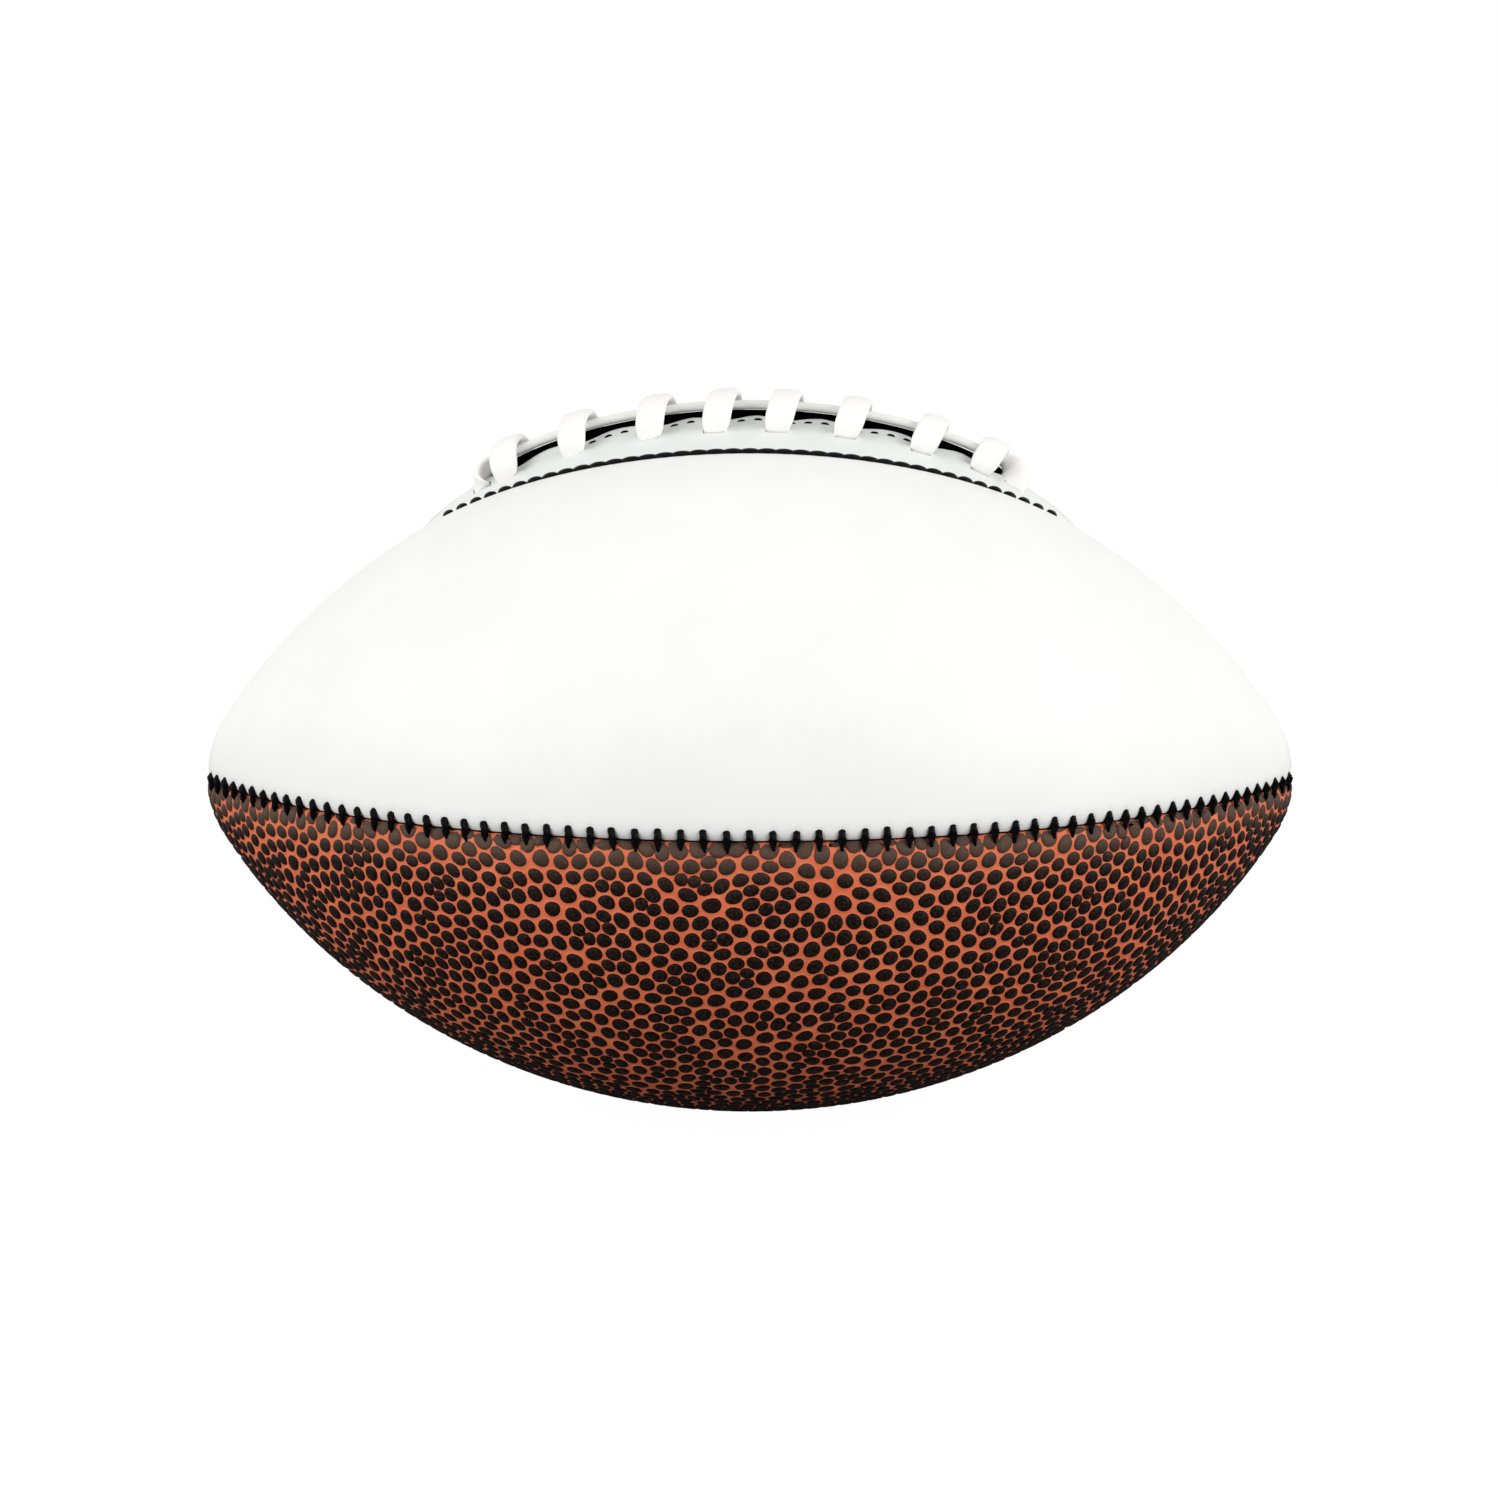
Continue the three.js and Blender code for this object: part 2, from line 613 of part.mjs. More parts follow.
function housingBody() {
  return latheBody([
    [VALVE_AIR_RADIUS, flangeBottom],
    [VALVE_FLANGE_RADIUS, flangeBottom],
    [VALVE_FLANGE_RADIUS, flangeTop],
    [VALVE_RADIUS, flangeTop],
    [VALVE_RADIUS, valveTop],
    [VALVE_SOCKET_RADIUS, valveTop],
    [VALVE_SOCKET_RADIUS, socketFloor],
    [VALVE_AIR_RADIUS, socketFloor],
    [VALVE_AIR_RADIUS, flangeBottom],
  ]);
}

function coreBody() {
  const top = valveTop - CORE_SINK;
  const radius = VALVE_SOCKET_RADIUS - CLEARANCE;
  return latheBody([
    [0, socketFloor + CLEARANCE],
    [radius, socketFloor + CLEARANCE],
    [radius, top],
    [NEEDLE_RADIUS, top],
    [NEEDLE_RADIUS, top - NEEDLE_DEPTH],
    [0, top - NEEDLE_DEPTH],
  ]);
}

// Finishes
const finish = (color, roughness) => new THREE.MeshStandardMaterial({ color, roughness, metalness: 0 });
const whiteCover = finish('#f1f1ee', 0.5);
const brownCover = finish('#7a3a22', 0.55);
const stripCover = finish('#e4e6e3', 0.5);
const laceWhite = finish('#f3f1ea', 0.6);
const blackThread = finish('#16161c', 0.7);
const liningCloth = finish('#c9c4b6', 0.9);
const facingCloth = finish('#d8d6cf', 0.9);
const tongueBlack = finish('#1b1b1d', 0.8);
const bladderRubber = finish('#2a2a2c', 0.6);
const valveRubber = finish('#3a3a3c', 0.6);

const football = new THREE.Group();

function add(name, geometry, material) {
  const mesh = new THREE.Mesh(geometry, material);
  mesh.name = name;
  football.add(mesh);
  return mesh;
}

add('panel_front_upper', panelBody(FRONT_STRIP_SEAM, FRONT_SEAM), whiteCover);
add('panel_front_lower', panelBody(FRONT_SEAM, BOTTOM_SEAM), brownCover);
add('panel_rear_lower', cut(panelBody(BOTTOM_SEAM, REAR_SEAM), [portTool()]), brownCover);
add('panel_rear_upper', panelBody(REAR_SEAM, REAR_STRIP_SEAM), whiteCover);

add('lining_front_upper', liningBody(FRONT_STRIP_SEAM, FRONT_SEAM), liningCloth);
add('lining_front_lower', liningBody(FRONT_SEAM, BOTTOM_SEAM), liningCloth);
add('lining_rear_lower', cut(liningBody(BOTTOM_SEAM, REAR_SEAM), [portTool()]), liningCloth);
add('lining_rear_upper', liningBody(REAR_SEAM, REAR_STRIP_SEAM), liningCloth);

add('lace_strip_front', stripBody(1), stripCover);
add('lace_strip_rear', stripBody(-1), stripCover);
add('lace_facing_front', facingBody(1), facingCloth);
add('lace_facing_rear', facingBody(-1), facingCloth);
add('lace_tongue', tongueBody(), tongueBlack);
add('lace', laceBody(), laceWhite);

add('seam_thread_front', seamThread(-threadEnd, threadEnd, FRONT_SEAM, coverStitch), blackThread);
add('seam_thread_bottom', seamThread(-threadEnd, threadEnd, BOTTOM_SEAM, coverStitch), blackThread);
add('seam_thread_rear', seamThread(-threadEnd, threadEnd, REAR_SEAM, coverStitch), blackThread);
add('seam_thread_top_left', seamThread(-threadEnd, -topThreadStart, () => 0, coverStitch), blackThread);
add('seam_thread_top_right', seamThread(topThreadStart, threadEnd, () => 0, coverStitch), blackThread);
add('strip_thread_front', seamThread(-endHole, endHole, FRONT_STRIP_SEAM, stripStitch), blackThread);
add('strip_thread_rear', seamThread(-endHole, endHole, REAR_STRIP_SEAM, stripStitch), blackThread);
add('slit_thread_front', slitThread(1), blackThread);
add('slit_thread_rear', slitThread(-1), blackThread);

add('bladder', bladderBody(), bladderRubber);
add('valve_housing', housingBody(), valveRubber).quaternion.copy(valvePose);
add('valve_core', coreBody(), valveRubber).quaternion.copy(valvePose);

export default football;
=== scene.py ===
# %% [markdown]
# # An american football
# A small sewn football: two smooth white panels above two pebbled brown ones, black thread in the seams and
# a raised lacing panel with one white lace. The construction comes packed from CAD as the frame, in metres,
# with X along the ball, Z up through the lacing and the front towards -Y. Here every piece gets its real
# surface.

# %% Frame
import math

import bpy
import numpy as np
from mathutils.geometry import delaunay_2d_cdt
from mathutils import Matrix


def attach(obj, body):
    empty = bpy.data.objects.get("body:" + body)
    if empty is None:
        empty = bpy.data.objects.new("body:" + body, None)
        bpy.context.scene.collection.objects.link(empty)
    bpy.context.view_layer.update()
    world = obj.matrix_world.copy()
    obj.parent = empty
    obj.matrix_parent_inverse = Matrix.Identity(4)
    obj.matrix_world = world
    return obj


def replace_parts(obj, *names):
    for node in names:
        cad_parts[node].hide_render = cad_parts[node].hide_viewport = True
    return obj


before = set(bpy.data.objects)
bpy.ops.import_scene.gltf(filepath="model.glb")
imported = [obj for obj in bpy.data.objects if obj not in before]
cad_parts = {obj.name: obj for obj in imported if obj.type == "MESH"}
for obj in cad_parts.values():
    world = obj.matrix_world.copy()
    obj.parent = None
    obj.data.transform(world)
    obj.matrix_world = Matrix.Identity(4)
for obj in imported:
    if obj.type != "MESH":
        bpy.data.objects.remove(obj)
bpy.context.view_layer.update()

print("nodes in the frame:", len(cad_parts))

# %% [markdown]
# ## The shape of the ball
# The ball is a spindle: a long circular flank that runs into a small round nose at each end. A point on it
# has three natural measures: s, the arc length along the leather from the middle, a turn about the long
# axis (none at the lacing, a quarter at the front) and its height over the cover. Leather, thread and lace
# are all worked flat in these measures and then wrapped, so one function that turns them into a place
# serves every piece.

# %% Ball
MM = 0.001
QUARTER = math.pi / 2
BALL_LENGTH = 216 * MM
BALL_DIAMETER = 133 * MM
NOSE_RADIUS = 22 * MM
POLE_RADIUS = 0.5 * MM

belly = BALL_DIAMETER / 2
nose_centre = BALL_LENGTH / 2 - NOSE_RADIUS
flank_radius = (nose_centre**2 + belly**2 - NOSE_RADIUS**2) / (2 * (belly - NOSE_RADIUS))
nose_angle = math.atan2(nose_centre, flank_radius - belly)
nose_start = flank_radius * nose_angle
cover_end = nose_start + NOSE_RADIUS * (math.acos(POLE_RADIUS / NOSE_RADIUS) - nose_angle)


def meridian(s):
    """The place along the axis, the radius and the slope of the normal at arc lengths s."""
    along = np.minimum(np.abs(s), cover_end)
    on_nose = along > nose_start
    slope = np.where(on_nose, nose_angle + (along - nose_start) / NOSE_RADIUS, along / flank_radius)
    nose_x = nose_centre + NOSE_RADIUS * np.sin(slope)
    x = np.where(on_nose, nose_x, flank_radius * np.sin(slope))
    flank_r = belly - flank_radius * (1 - np.cos(slope))
    radius = np.where(on_nose, NOSE_RADIUS * np.cos(slope), flank_r)
    return np.sign(s) * x, radius, np.sign(s) * slope


def place(s, turn, height):
    x, radius, slope = meridian(s)
    reach = radius + height * np.cos(slope)
    return np.column_stack([x + height * np.sin(slope), -reach * np.sin(turn), reach * np.cos(turn)])


print(f"flank radius {flank_radius / MM:.1f} mm, half of the leather's length {cover_end / MM:.1f} mm")

# %% [markdown]
# ## Working on the bench
# In Blender, an edit operator acts on what is selected, so each step first chooses its faces, edges or
# corners. These few helpers do that by place, apply a modifier at once, and lay a flat piece on the ball.

# %% Choosing what to work on
FACE_MODE = (False, False, True)


def only(piece):
    """Leaves edit mode and makes one piece the only selected one."""
    if bpy.context.mode != "OBJECT":
        bpy.ops.object.mode_set(mode="OBJECT")
    bpy.ops.object.select_all(action="DESELECT")
    piece.select_set(True)
    bpy.context.view_layer.objects.active = piece


def edit(piece, kind, action):
    """Opens edit mode with all of one kind of element selected, or none."""
    only(piece)
    bpy.ops.object.mode_set(mode="EDIT")
    bpy.ops.mesh.select_mode(type=kind)
    bpy.ops.mesh.select_all(action=action)


def pick_faces(piece, chosen):
    """Opens edit mode with the faces selected for which chosen(centres) is true."""
    only(piece)
    mesh = piece.data
    for elements in (mesh.vertices, mesh.edges, mesh.polygons):
        elements.foreach_set("select", np.zeros(len(elements), bool))
    centres = np.empty(3 * len(mesh.polygons))
    mesh.polygons.foreach_get("center", centres)
    mesh.polygons.foreach_set("select", chosen(centres.reshape(-1, 3)))
    bpy.context.tool_settings.mesh_select_mode = FACE_MODE
    bpy.ops.object.mode_set(mode="EDIT")


# %% Blanks and modifiers
def apply(piece, kind, **settings):
    """Adds a modifier and applies it at once."""
    only(piece)
    modifier = piece.modifiers.new(kind.title(), kind)
    for name, value in settings.items():
        setattr(modifier, name, value)
    bpy.ops.object.modifier_apply(modifier=modifier.name)


def bench_grid(name, columns, rows):
    """A flat grid from -1 to 1 both ways, the blank of a sheet piece."""
    bpy.ops.object.select_all(action="DESELECT")
    bpy.ops.mesh.primitive_grid_add(x_subdivisions=columns, y_subdivisions=rows, size=2)
    piece = bpy.context.object
    piece.name = piece.data.name = name
    return piece


# %% Laying and dressing
def points_of(piece):
    points = np.empty(3 * len(piece.data.vertices))
    piece.data.vertices.foreach_get("co", points)
    return points.reshape(-1, 3)


def lay(piece, where):
    """Moves each corner of a bench piece to its place on the ball."""
    only(piece)
    piece.data.vertices.foreach_set("co", where(points_of(piece)).ravel())
    piece.data.update()
    return piece


def wear(piece, slot, *materials):
    """The piece takes its finishes, is shaded smooth and hangs on the root. The slot is not used."""
    if not piece.data.materials:
        for material in materials:
            piece.data.materials.append(material)
    only(piece)
    bpy.ops.object.shade_smooth()
    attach(piece, "root")
    triangles = sum(len(face.vertices) - 2 for face in piece.data.polygons)
    print(f"{piece.name}: {triangles} triangles")
    return piece

# %% [markdown]
# ## Camera
# The photograph looks at the front of the ball from a little above, and from near by: the lacing, which
# lies on top, sits on the skyline. Six belly radii away and ten degrees up give that view. The long axis
# lies a little under the middle of the picture, which a small lens shift gives without tilting the ball.

# %% Camera
CAMERA_DISTANCE = 6 * belly
CAMERA_RISE = math.radians(10)
LENS = 47.7
LENS_SHIFT = 0.016
NEAREST_SEEN = 10 * MM

bpy.ops.object.select_all(action="DESELECT")
bpy.ops.object.camera_add(
    location=(0, -CAMERA_DISTANCE * math.cos(CAMERA_RISE), CAMERA_DISTANCE * math.sin(CAMERA_RISE)),
    rotation=(QUARTER - CAMERA_RISE, 0, 0),
)
camera = bpy.context.object
camera.data.lens = LENS
camera.data.shift_y = LENS_SHIFT
camera.data.clip_start = NEAREST_SEEN
bpy.context.scene.camera = camera
bpy.context.scene.view_settings.view_transform = "Standard"
print(f"camera {CAMERA_DISTANCE / MM:.0f} mm from the ball")

# %% [markdown]
# ## Nodes and colours
# Every finish is a node tree. One function adds a node with its settings and its inputs, where an input is
# either a value or the socket that feeds it. Colours are written as sRGB hex, as a paint program shows
# them, and turned into the linear light that Blender reckons with. A Mix node has sockets of one name for
# numbers, vectors and colours, so those for colours go by their numbers.

# %% Node helpers
FIRST_COLOUR = 6
SECOND_COLOUR = 7
MIXED_COLOUR = 2


def linear(code):
    values = [int(code[i:i + 2], 16) / 255 for i in (1, 3, 5)]
    return [v / 12.92 if v <= 0.04045 else ((v + 0.055) / 1.055) ** 2.4 for v in values] + [1.0]


def add(tree, kind, inputs, **settings):
    made = tree.nodes.new(kind)
    for name, value in settings.items():
        setattr(made, name, value)
    for name, value in inputs.items():
        if isinstance(value, bpy.types.NodeSocket):
            tree.links.new(value, made.inputs[name])
        else:
            made.inputs[name].default_value = value
    return made


def new_finish(name, roughness, **sockets):
    """A material with its shader's constant sockets set. Gives the material, its tree and its shader."""
    material = bpy.data.materials.new(name)
    material.use_nodes = True
    shader = material.node_tree.nodes["Principled BSDF"]
    shader.inputs["Roughness"].default_value = roughness
    for socket, value in sockets.items():
        shader.inputs[socket.replace("_", " ")].default_value = value
    return material, material.node_tree, shader


# %% [markdown]
# ## Studio
# The ball lies in a white studio: a white sky lights it from all round, two wide soft lamps left and right
# of the camera model it, and the floor is near white with a faint shadow. The camera and mirror-like rays
# see the sky as plain white.

# %% Studio
SKY_LIGHT = 0.62
LAMP_WIDTH = 1.0
LAMP_HEIGHT = 0.9
LAMP_PLACES = ((-0.9, -0.58, 0.3), (0.95, -0.58, 0.3))
LAMP_POWERS = (7.3, 8.3)
FLOOR_DROP = 0.85 * MM
FLOOR_SIZE = 8.0
FLOOR_SHARE = 0.82
FLOOR_GLOW = 1.2

world = bpy.data.worlds.new("white_studio")
bpy.context.scene.world = world
world.use_nodes = True
sky = world.node_tree
ray = add(sky, "ShaderNodeLightPath", {})
seen = add(sky, "ShaderNodeMath", {0: ray.outputs["Is Camera Ray"], 1: ray.outputs["Is Glossy Ray"]},
           operation="MAXIMUM")
through = add(sky, "ShaderNodeMath", {0: seen.outputs[0], 1: ray.outputs["Is Transmission Ray"]},
              operation="MAXIMUM")
strength = add(sky, "ShaderNodeMapRange", {"Value": through.outputs[0], "To Min": SKY_LIGHT, "To Max": 1.0})
sky.links.new(strength.outputs[0], sky.nodes["Background"].inputs["Strength"])
sky.nodes["Background"].inputs["Color"].default_value = linear("#ffffff")

for lamp_place, power in zip(LAMP_PLACES, LAMP_POWERS):
    bpy.ops.object.light_add(type="AREA", location=lamp_place)
    lamp = bpy.context.object
    lamp.data.energy = power
    lamp.data.shape = "RECTANGLE"
    lamp.data.size = LAMP_WIDTH
    lamp.data.size_y = LAMP_HEIGHT
    lamp.rotation_euler = (-lamp.location).to_track_quat("-Z", "Y").to_euler()

bpy.ops.mesh.primitive_plane_add(size=FLOOR_SIZE, location=(0, 0, -belly - FLOOR_DROP))
floor = bpy.context.object
floor.name = "studio_floor"
paint, tree, shader = new_finish("white_studio_paint", 0.9)
shader.inputs["Base Color"].default_value = linear("#848484")
glow = add(tree, "ShaderNodeEmission", {"Color": linear("#ffffff"), "Strength": FLOOR_GLOW})
ray = add(tree, "ShaderNodeLightPath", {})
share = add(tree, "ShaderNodeMath", {0: ray.outputs["Is Camera Ray"], 1: FLOOR_SHARE}, operation="MULTIPLY")
blend = add(tree, "ShaderNodeMixShader", {0: share.outputs[0], 1: shader.outputs[0], 2: glow.outputs[0]})
tree.links.new(blend.outputs[0], tree.nodes["Material Output"].inputs["Surface"])
floor.data.materials.append(paint)
print("studio ready")

# %% [markdown]
# ## Seams and stitches
# At a seam the two panels are sewn face to face and turned, so each edge rolls down into a valley. The
# thread pulls a notch into both edges at every stitch, and between two stitches the leather puffs out
# again. A quarter of an ellipse gives the roll, and narrow bumps at the stitches give the notches. Both
# panels of a seam use the same stitch places, and so does the thread that lies in them.

# %% Seams
SEAM_GAP = 0.12 * MM
SHOULDER_WIDTH = 3 * MM
SHOULDER_ROOM = 1 * MM
VALLEY_DEPTH = 1.5 * MM
STITCH_PITCH = 3.9 * MM
STRIP_STITCH_PITCH = 3.2 * MM
THREAD_POLE_ROOM = 8 * MM
NOTCH_DEPTH = 0.45 * MM
NOTCH_HALF_WIDTH = 0.5 * MM
NOTCH_REACH = 1.9 * MM
PUFF = 0.22 * MM

thread_end = cover_end - THREAD_POLE_ROOM


def stitch_row(start, end, pitch):
    count = round((end - start) / pitch)
    return start + (end - start) * (np.arange(count) + 0.5) / count


def squeeze_at(width):
    """How far the seam's edges draw together where a panel narrows towards a pole."""
    return np.minimum(1, width / (2 * (SHOULDER_WIDTH + SHOULDER_ROOM)))


def shoulder(away, depth=VALLEY_DEPTH, width=SHOULDER_WIDTH):
    """The drop of a panel at a distance from its seam."""
    outside = 1 - np.clip(away / width, 0, 1)
    return -depth * (1 - np.sqrt(1 - outside**2))


def stitch_pull(s, away, stitches):
    """The notch's depth, and how far the edge draws back from the seam, near the stitches."""
    nearest = np.abs(s[:, None] - stitches[None, :]).min(axis=1)
    sewn = (np.abs(s) < np.abs(stitches).max() + STITCH_PITCH / 2).astype(float)
    at_stitch = np.exp(-((nearest / NOTCH_HALF_WIDTH) ** 2))
    notch = NOTCH_DEPTH * at_stitch * np.exp(-((away / NOTCH_REACH) ** 4))
    back = PUFF * (2 * at_stitch - 1) * np.exp(-away / SHOULDER_WIDTH * 2)
    return notch * sewn, back * sewn


long_stitches = stitch_row(-thread_end, thread_end, STITCH_PITCH)
print(f"{len(long_stitches)} stitches on a long seam")

# %% [markdown]
# ## Outline of the lacing panel
# The lacing panel is a lens of pale leather along the top, in two halves with the slit between them. It
# stands proud towards the slit, because the bladder and the lace push it up. The eight crosses of the lace
# set its length: a hole row half way across each half, an end hole past the last cross, and a pointed tail
# beyond. They are laced by hand, so each sits a little off its even place.

# %% Lacing outline
STRIP_HALF_WIDTH = 18.5 * MM
STRIP_TAIL = 14.5 * MM
STRIP_END_CUT = 2.5 * MM
STRIP_LIFT = 4.5 * MM
SLIT_HALF_GAP = 1.5 * MM
SLIT_END_SHARE = 0.25
HOLE_ROW_SHARE = 0.53
CROSS_COUNT = 8
CROSS_PITCH = 13.2 * MM
CROSS_LEAN = 2.2 * MM
CROSS_DRIFT = np.array([1.05, 1.5, 3.1, 2.2, 0.5, 0.1, 1.5, 0.3]) * MM
END_HOLE_STEP = 9.3 * MM
STRIP_SEWN_TAIL = 7 * MM

even_crosses = CROSS_PITCH * (np.arange(CROSS_COUNT) - (CROSS_COUNT - 1) / 2)
crosses = even_crosses + CROSS_DRIFT
end_hole = even_crosses[-1] + END_HOLE_STEP
strip_half_length = end_hole + STRIP_TAIL
strip_end = strip_half_length - STRIP_END_CUT


def strip_edge(s):
    return STRIP_HALF_WIDTH * np.maximum(0, 1 - (s / strip_half_length) ** 2)


def slit_edge(s):
    return np.minimum(SLIT_HALF_GAP, strip_edge(s) * SLIT_END_SHARE)


def slit_lift(s):
    return STRIP_LIFT * np.maximum(0, 1 - (s / strip_end) ** 4)


def strip_lift(s, t):
    return slit_lift(s) * (strip_edge(s) - t) / (strip_edge(s) - slit_edge(s))


def hole_row(s):
    return slit_edge(s) + (strip_edge(s) - slit_edge(s)) * HOLE_ROW_SHARE


# %% Seam lines
def straight_seam(turn):
    return lambda s: np.full_like(s, turn)


def front_strip_seam(s):
    return strip_edge(s) / meridian(s)[1]


def rear_strip_seam(s):
    return 4 * QUARTER - strip_edge(s) / meridian(s)[1]


top_seam, front_seam, bottom_seam, rear_seam = (straight_seam(k * QUARTER) for k in range(4))
top_start = strip_half_length + STITCH_PITCH / 2
top_stitches = stitch_row(top_start, thread_end, STITCH_PITCH)
strip_sewn = end_hole + STRIP_SEWN_TAIL
strip_stitches = stitch_row(-strip_sewn, strip_sewn, STRIP_STITCH_PITCH)
upper_stitches = np.concatenate([-top_stitches[::-1], top_stitches])
print(f"lacing panel {2 * strip_end / MM:.0f} mm long, {2 * STRIP_HALF_WIDTH / MM:.0f} mm wide")

# %% [markdown]
# ## White leather
# The white panels are synthetic leather: a cloth with a smooth coat of polyurethane, embossed so finely
# that it looks plain. What the eye gets is a clean white with a satin sheen that breaks up a little at the
# grain, and a faint mottle where the coat lies thicker or thinner. The grain is drawn coarser than life so
# that it shows.

# %% White leather
COAT_GRAIN = 0.55 * MM
COAT_MOTTLE = 14 * MM


def coated(name, roughness, dark, pale, relief):
    material, tree, shader = new_finish(name, roughness, IOR=1.46)
    at = add(tree, "ShaderNodeTexCoord", {}).outputs["Object"]
    mottle = add(tree, "ShaderNodeTexNoise", {"Vector": at, "Scale": 1 / COAT_MOTTLE, "Detail": 3.0})
    tone = add(tree, "ShaderNodeMix", {"Factor": mottle.outputs["Fac"], FIRST_COLOUR: linear(dark),
                                       SECOND_COLOUR: linear(pale)}, data_type="RGBA")
    tree.links.new(tone.outputs[MIXED_COLOUR], shader.inputs["Base Color"])
    grain = add(tree, "ShaderNodeTexVoronoi", {"Vector": at, "Scale": 1 / COAT_GRAIN}, feature="SMOOTH_F1")
    bump = add(tree, "ShaderNodeBump", {"Height": grain.outputs["Distance"], "Strength": relief,
                                        "Distance": 0.1 * MM})
    tree.links.new(bump.outputs[0], shader.inputs["Normal"])
    return material


white_leather = coated("white_coated_leather", 0.46, "#f0f1f0", "#f8f7f4", 0.12)
print("finish:", white_leather.name)

# %% [markdown]
# ## White panels
# A panel is cut flat, sewn and stretched over the bladder. A grid of many columns is the blank. Its rows
# gather near both seams, where the leather rolls down and the stitches notch it. Wrapped on the ball it
# gets its thickness from a Solidify modifier, inwards, so the outside stays at the ball's true size.

# %% White panels
COVER_THICKNESS = 1.6 * MM
LACED_EDGE_DEPTH = 0.35 * MM
LACED_EDGE_WIDTH = 0.9 * MM
PANEL_COLUMNS = 560
PANEL_ROWS = 48


def edge_roll(s, away, is_laced):
    """The drop at an edge. Beside the lacing panel the edge lies on top and rolls down only a little."""
    sewn = shoulder(away)
    beside_lacing = (np.abs(s) < strip_half_length) & is_laced
    return np.where(beside_lacing, shoulder(away, LACED_EDGE_DEPTH, LACED_EDGE_WIDTH), sewn)


def panel_place(low_seam, high_seam, low_stitches, high_stitches, low_laced, high_laced):
    """Where a blank's points go between two seams, the low one at its lower edge."""
    def where(bench):
        s = bench[:, 0] * cover_end
        radius = meridian(s)[1]
        width = (low_seam(s) - high_seam(s)) * radius
        squeeze = squeeze_at(width)
        share = 0.5 + 0.5 * np.sin(bench[:, 1] * QUARTER)
        up = SEAM_GAP * squeeze + share * (width - 2 * SEAM_GAP * squeeze)
        low_notch, low_back = stitch_pull(s, up, low_stitches)
        high_notch, high_back = stitch_pull(s, width - up, high_stitches)
        drop = edge_roll(s, up / squeeze, low_laced) + edge_roll(s, (width - up) / squeeze, high_laced)
        drop = drop - low_notch - high_notch
        slide = (low_back - high_back) * squeeze
        return place(s, low_seam(s) - (up + slide) / radius, drop * squeeze)
    return where


def white_panel(name, *edges):
    panel = bench_grid(name + "_leather", PANEL_COLUMNS, PANEL_ROWS)
    lay(panel, panel_place(*edges))
    apply(panel, "SOLIDIFY", thickness=COVER_THICKNESS, offset=-1)
    wear(panel, "white_cover", white_leather)
    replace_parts(panel, name)


white_panel("panel_front_upper", front_seam, front_strip_seam, long_stitches, upper_stitches, False, True)
white_panel("panel_rear_upper", rear_strip_seam, rear_seam, upper_stitches, long_stitches, True, False)

# %% [markdown]
# ## Brown leather
# The brown panels are embossed: dark rounded pebbles stand on a rust-coloured ground, as if printed on top
# after pressing. Two finishes share a panel, one for the ground and one for the pebbles. The pebbles carry
# a fine grain of their own, paler towards their crowns: real grain, and a painted highlight where the tops
# face the light. Next to a seam, where the panel rolls up towards the light, the pebbles' print is painted
# paler: a painted highlight.

# %% Brown leather
GROUND_GRAIN = 0.6 * MM
GROUND_MOTTLE = 9 * MM
PEBBLE_GRAIN = 0.4 * MM
GRAIN_SHARE = 0.16
# Painted highlight next to a seam: how much paler the pebbles' print is painted there, and how far it
# reaches. The same reach sets how far the pebbles stretch near a seam.
PAINTED_HIGHLIGHT_SHARE = 0.45
STRETCH_AND_HIGHLIGHT_REACH = 4.5 * MM

rust_ground, tree, shader = new_finish("rust_embossed_ground", 0.55, Specular_IOR_Level=0.25)
at = add(tree, "ShaderNodeTexCoord", {}).outputs["Object"]
mottle = add(tree, "ShaderNodeTexNoise", {"Vector": at, "Scale": 1 / GROUND_MOTTLE, "Detail": 4.0})
tone = add(tree, "ShaderNodeMix", {"Factor": mottle.outputs["Fac"], FIRST_COLOUR: linear("#d6633f"),
                                   SECOND_COLOUR: linear("#ec8056")}, data_type="RGBA")
tree.links.new(tone.outputs[MIXED_COLOUR], shader.inputs["Base Color"])
grain = add(tree, "ShaderNodeTexNoise", {"Vector": at, "Scale": 1 / GROUND_GRAIN, "Detail": 2.0})
bump = add(tree, "ShaderNodeBump", {"Height": grain.outputs["Fac"], "Strength": 0.2, "Distance": 0.1 * MM})
tree.links.new(bump.outputs[0], shader.inputs["Normal"])

dark_pebble, tree, shader = new_finish("dark_brown_pebble", 0.5, Specular_IOR_Level=0.1)
at = add(tree, "ShaderNodeTexCoord", {}).outputs["Object"]
speck = add(tree, "ShaderNodeTexNoise", {"Vector": at, "Scale": 1 / PEBBLE_GRAIN, "Detail": 2.0})
grain = add(tree, "ShaderNodeMapRange", {"Value": speck.outputs["Fac"], "From Min": 0.45, "From Max": 0.75,
                                         "To Max": GRAIN_SHARE})
# The pale grain grows with each pebble's height: real grain, and a painted highlight on the crowns, where
# the tops face the light.
crown = add(tree, "ShaderNodeAttribute", {}, attribute_name="crown")
